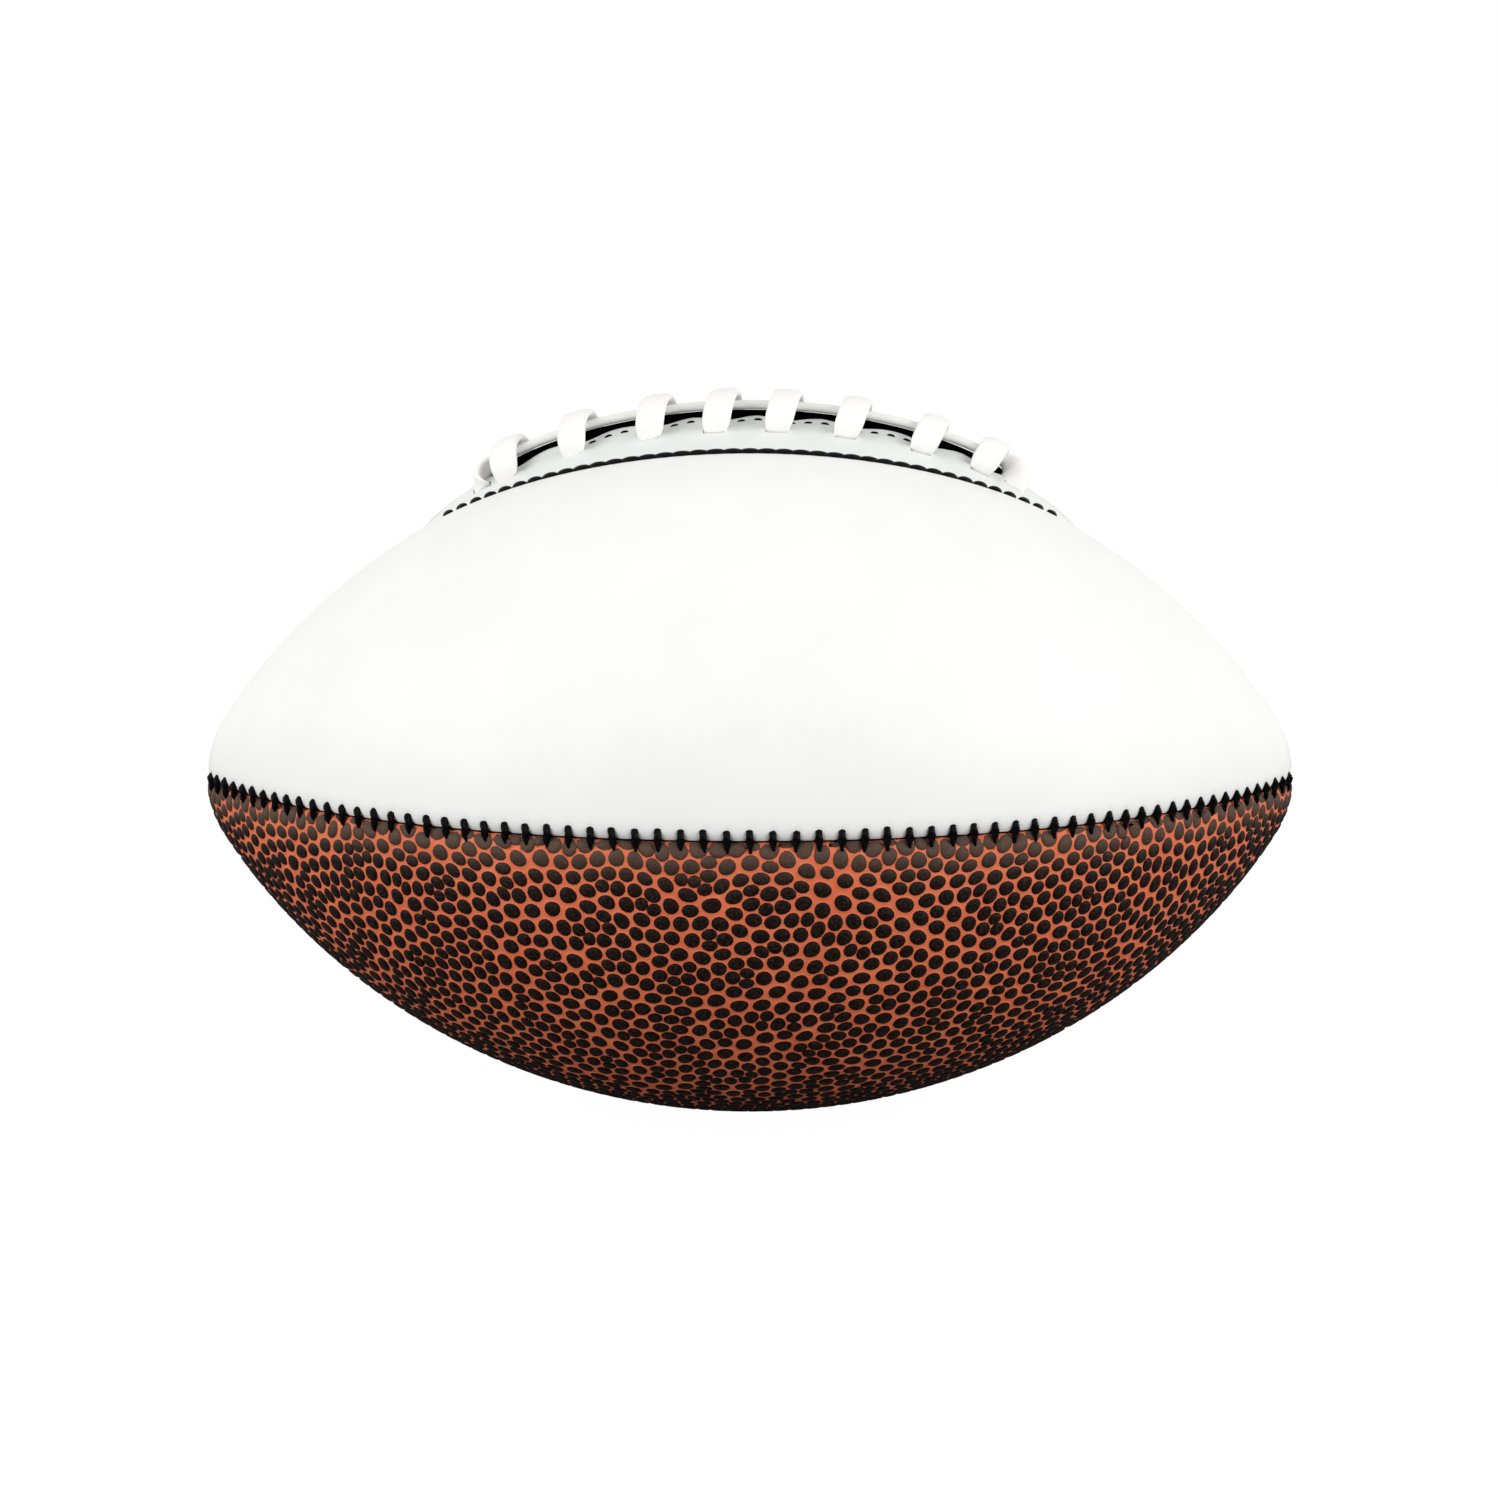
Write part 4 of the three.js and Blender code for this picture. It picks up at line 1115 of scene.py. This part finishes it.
def strip_height(s, t, side):
    """The height of a strip over the ball, with its rolled edge, its lobes and a lip round each slot.

    The front strip's slit edge is rounded. The rear one stands up sharp and higher at the slit, so its black
    cut edge shows there as a dark band under the run.
    """
    slit, edge = slit_edge(s), strip_edge(s)
    squeeze = np.minimum(1, (edge - slit) / STRIP_FULL_WIDTH)
    inland = t - slit
    nearest = np.abs(s[:, None] - crosses[None, :]).min(axis=1)
    dip = LOBE_DIP * np.exp(-((nearest / DIP_HALF_WIDTH) ** 2)) * np.exp(-((inland / LOBE_REACH) ** 2))
    lift = strip_lift(s, t) + shoulder((edge - t) / squeeze, width=STRIP_SHOULDER) * squeeze
    past_end = np.abs(s[:, None] - slot_places(side)[None, :]).min(axis=1) - SLOT_LENGTH / 2
    past_side = np.abs(t - hole_row(s)) - SLOT_WIDTH / 2
    from_slot = np.hypot(np.maximum(past_end, 0), np.maximum(past_side, 0))
    lift = lift + SLOT_LIP * np.exp(-((from_slot / LIP_REACH) ** 2)) * squeeze
    if side > 0:
        puff = RIM_PUFF * np.exp(-(((inland - RIM_MIDDLE) / RIM_REACH) ** 2)) * squeeze
        return lift + puff - dip + shoulder(inland, SLIT_ROUND_DEPTH, SLIT_ROUND)
    rise = FAR_EDGE_RISE * np.exp(-((inland / FAR_RISE_REACH) ** 2))
    return lift + rise * (1 - np.minimum(1, (s / RISE_END) ** RISE_POWER))


# %% Strip blank
STRIP_COLUMNS = 280


def strip_blank(name, side, last_row):
    """A strip on the bench, with s along X and the row number along Y, and its slots cut out."""
    blank = bench_grid(name, STRIP_COLUMNS, last_row)
    lay(blank, lambda bench: np.column_stack([
        bench[:, 0] * strip_end, last_row * (1 - side * bench[:, 1]) / 2, bench[:, 2]]))

    def in_slot(centres):
        s, row = centres[:, 0], centres[:, 1]
        near = np.abs(s[:, None] - slot_places(side)[None, :]).min(axis=1)
        return (near < SLOT_LENGTH / 2) & (row > ROW_KNOTS[2]) & (row < ROW_KNOTS[3])
    pick_faces(blank, in_slot)
    bpy.ops.mesh.delete(type="FACE")
    return blank


def on_strip(side, sink):
    def where(bench):
        s, row = bench[:, 0], bench[:, 1]
        t = strip_rows(s, row)
        return place(s, side * t / meridian(s)[1], strip_height(s, t, side) - sink)
    return where


# %% Strips and facings
STRIP_THICKNESS = 1.3 * MM
FACING_THICKNESS = 0.6 * MM
LAYER_GAP = 0.3 * MM

for side, end in ((1, "front"), (-1, "rear")):
    strip = strip_blank(f"lace_strip_{end}_leather", side, ROW_KNOTS[-1])
    lay(strip, on_strip(side, 0))
    strip.data.materials.append(strip_leather)
    strip.data.materials.append(black_backing)
    apply(strip, "SOLIDIFY", thickness=STRIP_THICKNESS, offset=-1, material_offset=1, material_offset_rim=1)
    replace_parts(wear(strip, "strip_cover"), f"lace_strip_{end}")
    facing = strip_blank(f"lace_facing_{end}_cloth", side, ROW_KNOTS[-2])
    lay(facing, on_strip(side, STRIP_THICKNESS + LAYER_GAP))
    apply(facing, "SOLIDIFY", thickness=FACING_THICKNESS, offset=-1)
    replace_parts(wear(facing, "facing_cloth", black_backing), f"lace_facing_{end}")

# %% Strip and slit threads
BEAD_HALF_LENGTH = 1.45 * MM
BEAD_THICKNESS = 2.7 * MM
BEAD_HEIGHT = -0.3 * MM
BEAD_OVERLAP = 0.6
BEAD_SHIFT = 0.8 * MM
BEAD_OVERLAP_REACH = 40 * MM
STRIP_STRAND_RADIUS = 0.4 * MM
STRIP_STRAND_DEPTH = 0.6 * MM
DASH_HALF_LENGTH = 1.0 * MM
DASH_THICKNESS = 0.55 * MM
DASH_INSET = 3 * MM
DASH_HEIGHT = 0.12 * MM


def along_strip(s, side, seam):
    """Lays a stitch along the seam. In the middle of the lacing panel the stitches run into each other."""
    length = 1 + BEAD_OVERLAP * math.exp(-((s / BEAD_OVERLAP_REACH) ** 4))

    def where(bench):
        stop = s + bench[:, 1] * length
        turn = seam(stop) + (bench[:, 0] - side * BEAD_SHIFT) / meridian(stop)[1]
        return place(stop, turn, bench[:, 2] + BEAD_HEIGHT)
    return where


def beside_slit(s, side):
    def where(bench):
        stop = s + bench[:, 1]
        t = slit_edge(stop) + DASH_INSET + bench[:, 0]
        ground = strip_height(stop, t, side) + DASH_HEIGHT
        tuck = DASH_THICKNESS * (bench[:, 1] / DASH_HALF_LENGTH) ** 4
        return place(stop, side * t / meridian(stop)[1], ground + bench[:, 2] - tuck)
    return where


def under_slit(side):
    def where(bench):
        s = bench[:, 0] * crosses[-2]
        angle = math.pi * bench[:, 1]
        t = slit_edge(s) + DASH_INSET + DASH_THICKNESS / 4 * np.cos(angle)
        sunk = strip_height(s, t, side) - DASH_THICKNESS / 2 + DASH_THICKNESS / 4 * np.sin(angle)
        return place(s, side * t / meridian(s)[1], sunk)
    return where


bead = twisted_stitch("strip_stitch", BEAD_HALF_LENGTH, BEAD_THICKNESS, 0, lens)
dash = twisted_stitch("slit_stitch", DASH_HALF_LENGTH, DASH_THICKNESS, 0, lens)
dash_places = stitch_row(crosses[1], crosses[-2], STRIP_STITCH_PITCH)
for side, end, seam in ((1, "front", front_strip_seam), (-1, "rear", rear_strip_seam)):
    route = along_valley(-strip_sewn, strip_sewn, seam, STRIP_STRAND_RADIUS, STRIP_STRAND_DEPTH)
    strand = rolled("strand", 4 * len(strip_stitches), STRAND_SIDES, route)
    places = [along_strip(s, side, seam) for s in strip_stitches]
    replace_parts(sew(f"strip_thread_{end}_stitches", bead, places, strand), f"strip_thread_{end}")
    strand = rolled("strand", 4 * len(dash_places), STRAND_SIDES, under_slit(side))
    places = [beside_slit(s, side) for s in dash_places]
    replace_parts(sew(f"slit_thread_{end}_stitches", dash, places, strand), f"slit_thread_{end}")
for pattern in (seam_stitch, bead, dash):
    bpy.data.objects.remove(pattern)

# %% [markdown]
# ## Lace
# The lace is one flat strap of soft white vinyl. It runs along the slit, hangs in a loop at either end that
# dives into a slot, and comes back in eight crosses, each up through a near hole, over the run and down
# through a far hole. Its route is written as stops with their height over the ball and the heading of the
# strap's width, then rounded, because a strap can't fold sharply. A curve with a bevel would twist at the
# dives, so a grid is rolled round the route instead, with a section that is flat on its faces and round at
# its edges.

# %% Lace finish
VINYL_GRAIN = 0.5 * MM

white_vinyl, tree, shader = new_finish("soft_white_vinyl", 0.55, IOR=1.46, Specular_IOR_Level=0.4)
at = add(tree, "ShaderNodeTexCoord", {}).outputs["Object"]
grain = add(tree, "ShaderNodeTexNoise", {"Vector": at, "Scale": 1 / VINYL_GRAIN, "Detail": 3.0})
tone = add(tree, "ShaderNodeMix", {"Factor": grain.outputs["Fac"], FIRST_COLOUR: linear("#f1f0eb"),
                                   SECOND_COLOUR: linear("#fdfcf9")}, data_type="RGBA")
tree.links.new(tone.outputs[MIXED_COLOUR], shader.inputs["Base Color"])
bump = add(tree, "ShaderNodeBump", {"Height": grain.outputs["Fac"], "Strength": 0.25,
                                    "Distance": 0.12 * MM})
tree.links.new(bump.outputs[0], shader.inputs["Normal"])
print("finish:", white_vinyl.name)

# %% Lace run
STRAP_WIDTH = 5.4 * MM
STRAP_THICKNESS = 1.75 * MM
RUN_GAP = 1.05 * MM

hole_lift = strip_lift(crosses[-1], hole_row(crosses[-1]))
layers = STRIP_THICKNESS + LAYER_GAP + FACING_THICKNESS + LAYER_GAP
under_height = hole_lift - layers - STRAP_THICKNESS / 2


def run_height(s):
    return slit_lift(s) + RUN_GAP + STRAP_THICKNESS / 2


print(f"the strap passes {-under_height / MM:.1f} mm under the cover's outside")

# %% Lace loops
LOOP_STEPS = 24
LOOP_REACH = 4.3 * MM
LOOP_DROP = 1.5 * MM
LOOP_TUCKS = np.array([1.0, 2.2]) * MM
LOOP_SLOPE = math.radians(42)
LOOP_STARTS = np.array([-46.5, 46.9]) * MM
LOOP_TILTS = np.radians([100, 26])
LOOP_TURNS = (0, 0.45, 0.6, 0.85)


def end_loop(start, slot, tuck, tilt):
    """Stops from the run round a hanging loop and down into a slot: a Bezier curve pulled out past it."""
    row = hole_row(slot)
    reach, tuck = math.copysign(LOOP_REACH, slot), math.copysign(tuck, slot)
    pulls = np.array([(start, 0, run_height(start)), (start + reach, 0, run_height(start)),
                      (slot - tuck + reach, row, strip_lift(slot, row) + LOOP_DROP),
                      (slot - tuck, row, under_height)])
    shown = np.array([math.copysign(math.cos(tilt), slot * math.cos(tilt)),
                      math.sin(tilt) * math.sin(LOOP_SLOPE), math.sin(tilt) * math.cos(LOOP_SLOPE)])
    stops = []
    for u in np.linspace(0, 1, LOOP_STEPS + 1):
        weights = np.array([(1 - u) ** 3, 3 * u * (1 - u) ** 2, 3 * u * u * (1 - u), u**3])
        facing = np.array([np.interp(u, LOOP_TURNS, (first, middle, middle, last))
                           for first, middle, last in zip((0, 1, 0), shown, (1, 0, 0))])
        stops.append((*(weights @ pulls), *(facing / np.linalg.norm(facing))))
    return stops


# %% Lace crosses
STRAP_BEND = 1.4 * MM
STRAP_SELF_GAP = 0.5 * MM
CROSS_CROWN = 0.1 * MM
CROSS_FULLNESS = 2.5
CROSS_STEPS = 28
SLOT_PINCH = 0.26
PINCH_REACH = 1.3 * MM


def cross_stops(s):
    row = hole_row(s)
    base = strip_lift(s, row)
    crown = run_height(s) + STRAP_THICKNESS + STRAP_SELF_GAP + CROSS_CROWN
    angle = np.linspace(0, math.pi, CROSS_STEPS + 1)
    power = 2 / CROSS_FULLNESS
    t = row * np.sign(np.cos(angle)) * np.abs(np.cos(angle)) ** power
    h = base + (crown - base) * np.abs(np.sin(angle)) ** power
    leg = [(row - STRAP_BEND, under_height), (row, under_height + STRAP_BEND)]
    near = [(s - CROSS_LEAN, a, b, SLOT_PINCH - 1, 0, 0) for a, b in leg]
    lean = 1 - angle / QUARTER
    lean = lean * np.where(lean > 0, CROSS_LEAN, FAR_LEAN)
    pinch = SLOT_PINCH * np.exp(-(((h - base) / PINCH_REACH) ** 2))
    over = [(s - c, a, b, d - 1, 0, 0) for a, b, c, d in zip(t, h, lean, pinch)]
    far = [(s + FAR_LEAN, -a, b, SLOT_PINCH - 1, 0, 0) for a, b in leg[::-1]]
    return near + over + far


# %% Lace route
def lace_stops():
    """Rows of s, t and height, then the strap's width direction along the ball, to the front and outwards.

    The length of the width direction is below one where a slot pinches the strap.
    """
    run = [(s, 0, run_height(s), 0, 1, 0) for s in np.linspace(crosses[-1], crosses[0], 4 * CROSS_COUNT)]
    left, right = (end_loop(*end) for end in zip(LOOP_STARTS, LOOP_SLOTS, LOOP_TUCKS, LOOP_TILTS))
    stops = right[::-1] + run + left
    for s, following in zip(crosses, [*crosses[1:], None]):
        stops += cross_stops(s)
        if following is not None:
            ahead = following - s - CROSS_LEAN - FAR_LEAN
            heading = math.atan2(hole_row(s) + hole_row(following), ahead) + QUARTER
            middle = (hole_row(following) - hole_row(s)) / 2
            width = (math.cos(heading), math.sin(heading), 0)
            stops.append(((s + following) / 2, middle, under_height, *width))
    return np.array(stops, float)


# %% Lace
LACE_COLUMNS = 1300
LACE_SIDES = 28
ROUTE_STEP = 0.2 * MM
ROUTE_SOFTNESS = 4
SECTION_POWER = 2 / 2.8


def soften(values):
    """A moving average along the route, which rounds its corners."""
    kernel = np.hanning(2 * ROUTE_SOFTNESS + 3)[1:-1]
    padded = np.pad(values, ((ROUTE_SOFTNESS, ROUTE_SOFTNESS), (0, 0)), mode="edge")
    return np.column_stack([np.convolve(column, kernel / kernel.sum(), "valid") for column in padded.T])


def lace_frames():
    """Points along the route with the strap's width and thickness directions."""
    s, t, height, ahead, front, out = lace_stops().T
    radius, slope = meridian(s)[1:]
    turn = t / radius
    centre = place(s, turn, height)
    to_front = np.column_stack([np.zeros_like(s), -np.cos(turn), -np.sin(turn)])
    outward = np.column_stack([np.sin(slope), -np.cos(slope) * np.sin(turn), np.cos(slope) * np.cos(turn)])
    along = np.cross(outward, to_front)
    width = ahead[:, None] * along + front[:, None] * to_front + out[:, None] * outward
    travelled = np.concatenate([[0], np.cumsum(np.linalg.norm(np.diff(centre, axis=0), axis=1))])
    even = np.arange(0, travelled[-1], ROUTE_STEP)
    centre, width = (soften(np.column_stack([np.interp(even, travelled, column) for column in values.T]))
                     for values in (centre, width))
    ahead = np.gradient(centre, axis=0)
    ahead /= np.linalg.norm(ahead, axis=1)[:, None]
    reach = np.linalg.norm(width, axis=1)[:, None]
    thick = np.cross(ahead, width)
    thick /= np.linalg.norm(thick, axis=1)[:, None]
    return even, centre, reach * np.cross(thick, ahead), thick


def strap_place(bench):
    even, centre, width, thick = lace_frames()
    stop = even[-1] * (bench[:, 0] + 1) / 2
    centre, width, thick = (np.column_stack([np.interp(stop, even, column) for column in values.T])
                            for values in (centre, width, thick))
    angle = math.pi * bench[:, 1]
    across = STRAP_WIDTH / 2 * np.sign(np.cos(angle)) * np.abs(np.cos(angle)) ** SECTION_POWER
    up = STRAP_THICKNESS / 2 * np.sign(np.sin(angle)) * np.abs(np.sin(angle)) ** SECTION_POWER
    return centre + width * across[:, None] + thick * up[:, None]


lace = rolled("lace_strap", LACE_COLUMNS, LACE_SIDES, strap_place)
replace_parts(wear(lace, "lace_strap", white_vinyl), "lace")
print(f"lace: {lace_frames()[0][-1] / MM:.0f} mm of strap")

# %% [markdown]
# ## Inside the ball
# A tongue of black leather closes the slit from below. Under the panels lie cloth linings that keep the
# leather from stretching, and inside them the rubber bladder. Little of this shows, but it is there when
# the ball is cut open, so the sheets get the same wrapping as the panels, in fewer columns.

# %% Inner finishes
CLOTH_THREAD = 0.9 * MM
RUBBER_BLOOM = 6 * MM


def moulded(name, dark, bloom, roughness):
    material, tree, shader = new_finish(name, roughness, Specular_IOR_Level=0.35)
    at = add(tree, "ShaderNodeTexCoord", {}).outputs["Object"]
    cloud = add(tree, "ShaderNodeTexNoise", {"Vector": at, "Scale": 1 / RUBBER_BLOOM, "Detail": 5.0})
    tone = add(tree, "ShaderNodeMix", {"Factor": cloud.outputs["Fac"], FIRST_COLOUR: linear(dark),
                                       SECOND_COLOUR: linear(bloom)}, data_type="RGBA")
    tree.links.new(tone.outputs[MIXED_COLOUR], shader.inputs["Base Color"])
    return material


cotton_lining = woven("woven_cotton_lining", CLOTH_THREAD, 0.08, 0.2, (0.4, 0.2 * MM),
                      "#cfcabb", "#c0baa9", "#9d978a")
black_tongue = moulded("black_tongue_leather", "#0d0d0f", "#1a1a1d", 0.6)
butyl = moulded("butyl_rubber", "#1e1e20", "#2f2f31", 0.6)
valve_rubber = moulded("moulded_valve_rubber", "#2b2b2d", "#3f3f41", 0.55)
print("finishes:", cotton_lining.name, black_tongue.name, butyl.name, valve_rubber.name)

# %% Tongue
TONGUE_HALF_WIDTH = 13 * MM
TONGUE_THICKNESS = 0.7 * MM
TONGUE_TAIL = 4.5 * MM
TONGUE_GRID = (120, 24)
LINING_EDGE = 2.3 * MM

tongue_top = under_height - STRAP_THICKNESS / 2 - LAYER_GAP


def tongue_place(bench):
    s = bench[:, 0] * (end_hole + TONGUE_TAIL)
    half = np.minimum(TONGUE_HALF_WIDTH, strip_edge(s) - LINING_EDGE)
    return place(s, -bench[:, 1] * half / meridian(s)[1], np.full(len(s), tongue_top))


tongue = bench_grid("lace_tongue_leather", *TONGUE_GRID)
lay(tongue, tongue_place)
apply(tongue, "SOLIDIFY", thickness=TONGUE_THICKNESS, offset=-1)
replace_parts(wear(tongue, "tongue_cloth", black_tongue), "lace_tongue")

# %% Linings
LINING_THICKNESS = 0.8 * MM
LINING_HEIGHT = -COVER_THICKNESS - LAYER_GAP
LINING_GRID = (160, 60)

valve_axis = np.array([0, -math.sin(rear_lower_middle), math.cos(rear_lower_middle)])


def lining_place(low_seam, high_seam):
    def where(bench):
        s = bench[:, 0] * nose_start
        edge = LINING_EDGE / meridian(s)[1]
        share = (bench[:, 1] + 1) / 2
        turn = (low_seam(s) - edge) * (1 - share) + (high_seam(s) + edge) * share
        return place(s, turn, np.full(len(s), LINING_HEIGHT))
    return where


def in_port(centres):
    along = centres @ valve_axis
    aside = np.linalg.norm(centres - along[:, None] * valve_axis, axis=1)
    return (along > 0) & (aside < port_radius)


def open_for_valve(piece):
    pick_faces(piece, in_port)
    bpy.ops.mesh.delete(type="FACE")


lining_seams = {
    "lining_front_upper": (front_seam, front_strip_seam),
    "lining_front_lower": (bottom_seam, front_seam),
    "lining_rear_lower": (rear_seam, bottom_seam),
    "lining_rear_upper": (rear_strip_seam, rear_seam),
}
for name, seams in lining_seams.items():
    lining = bench_grid(name + "_cloth", *LINING_GRID)
    lay(lining, lining_place(*seams))
    open_for_valve(lining)
    apply(lining, "SOLIDIFY", thickness=LINING_THICKNESS, offset=-1)
    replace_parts(wear(lining, "lining_cloth", cotton_lining), name)

# %% Bladder
BLADDER_SLACK = 1.4 * MM
BLADDER_WALL = 0.8 * MM
BLADDER_POLE_ROOM = NOSE_RADIUS / 8
BLADDER_GRID = (150, 96)

under_lining = LINING_HEIGHT - LINING_THICKNESS - BLADDER_SLACK
under_tongue = tongue_top - TONGUE_THICKNESS - 2 * LAYER_GAP
bladder_top = min(under_lining, under_tongue)


def bladder_place(bench):
    s = bench[:, 0] * (cover_end - BLADDER_POLE_ROOM)
    return place(s, -math.pi * bench[:, 1], np.full(len(s), bladder_top))


bladder = rolled("bladder_rubber", *BLADDER_GRID, bladder_place)
open_for_valve(bladder)
apply(bladder, "SOLIDIFY", thickness=BLADDER_WALL, offset=-1)
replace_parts(wear(bladder, "bladder_rubber", butyl), "bladder")

# %% [markdown]
# ## Valve
# In the middle of the rear lower panel a round port lets the inflation needle in. The rubber housing is
# bonded to the bladder and ends just under the leather, and a softer plug in it closes the hole behind the
# needle. Both are turned shapes, so their profiles are spun about the valve's axis.

# %% Valve sizes
VALVE_SINK = 0.8 * MM
VALVE_FLANGE_RADIUS = 7.5 * MM
VALVE_FLANGE_THICKNESS = 1.2 * MM
VALVE_SOCKET_RADIUS = 2.6 * MM
VALVE_FLOOR = 1 * MM
VALVE_AIR_RADIUS = 1.2 * MM
VALVE_EDGE = 0.4 * MM
CORE_SINK = 0.3 * MM
NEEDLE_RADIUS = 0.5 * MM
NEEDLE_MOUTH = 1.1 * MM
NEEDLE_DEPTH = 3 * MM
VALVE_PLAY = 0.3 * MM
FLANGE_DROP = 0.75 * MM

valve_top = belly - VALVE_SINK
flange_top = belly + bladder_top - BLADDER_WALL - FLANGE_DROP
flange_bottom = flange_top - VALVE_FLANGE_THICKNESS
socket_floor = flange_bottom + VALVE_FLOOR
core_top = valve_top - CORE_SINK
core_radius = VALVE_SOCKET_RADIUS - VALVE_PLAY
needle_floor = core_top - NEEDLE_DEPTH

print(f"valve {(valve_top - flange_bottom) / MM:.1f} mm deep")

# %% Valve
SPIN_STEPS = 56
CREASE_ANGLE = math.radians(40)


def turned(name, profile):
    """Spins a profile of radius and height about Z, and lays the turned piece on the valve's axis."""
    mesh = bpy.data.meshes.new(name)
    mesh.from_pydata([(radius, 0, height) for radius, height in profile],
                     [(k, k + 1) for k in range(len(profile) - 1)], [])
    piece = bpy.data.objects.new(name, mesh)
    bpy.context.scene.collection.objects.link(piece)
    edit(piece, "VERT", "SELECT")
    bpy.ops.mesh.spin(steps=SPIN_STEPS, angle=4 * QUARTER, center=(0, 0, 0), axis=(0, 0, 1))
    bpy.ops.mesh.select_all(action="SELECT")
    bpy.ops.mesh.remove_doubles(threshold=WELD)
    bpy.ops.mesh.normals_make_consistent(inside=False)
    down = np.array([0, math.cos(rear_lower_middle), math.sin(rear_lower_middle)])
    lay(piece, lambda bench: np.outer(bench[:, 0], (1, 0, 0)) + np.outer(bench[:, 1], down)
        + np.outer(bench[:, 2], valve_axis))
    wear(piece, "valve_rubber", valve_rubber)
    bpy.ops.object.shade_smooth_by_angle(angle=CREASE_ANGLE)
    return piece


housing = turned("valve_housing_rubber", [
    (VALVE_AIR_RADIUS, flange_bottom),
    (VALVE_FLANGE_RADIUS, flange_bottom),
    (VALVE_FLANGE_RADIUS, flange_top),
    (VALVE_RADIUS, flange_top),
    (VALVE_RADIUS, valve_top - VALVE_EDGE),
    (VALVE_RADIUS - VALVE_EDGE, valve_top),
    (VALVE_SOCKET_RADIUS + VALVE_EDGE, valve_top),
    (VALVE_SOCKET_RADIUS, valve_top - VALVE_EDGE),
    (VALVE_SOCKET_RADIUS, socket_floor),
    (VALVE_AIR_RADIUS, socket_floor),
    (VALVE_AIR_RADIUS, flange_bottom),
])
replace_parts(housing, "valve_housing")
core = turned("valve_core_rubber", [
    (0, socket_floor + VALVE_PLAY),
    (core_radius, socket_floor + VALVE_PLAY),
    (core_radius, core_top - VALVE_EDGE),
    (core_radius - VALVE_EDGE, core_top),
    (NEEDLE_MOUTH, core_top),
    (NEEDLE_RADIUS, core_top - VALVE_EDGE),
    (NEEDLE_RADIUS, needle_floor),
    (0, needle_floor),
])
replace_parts(core, "valve_core")
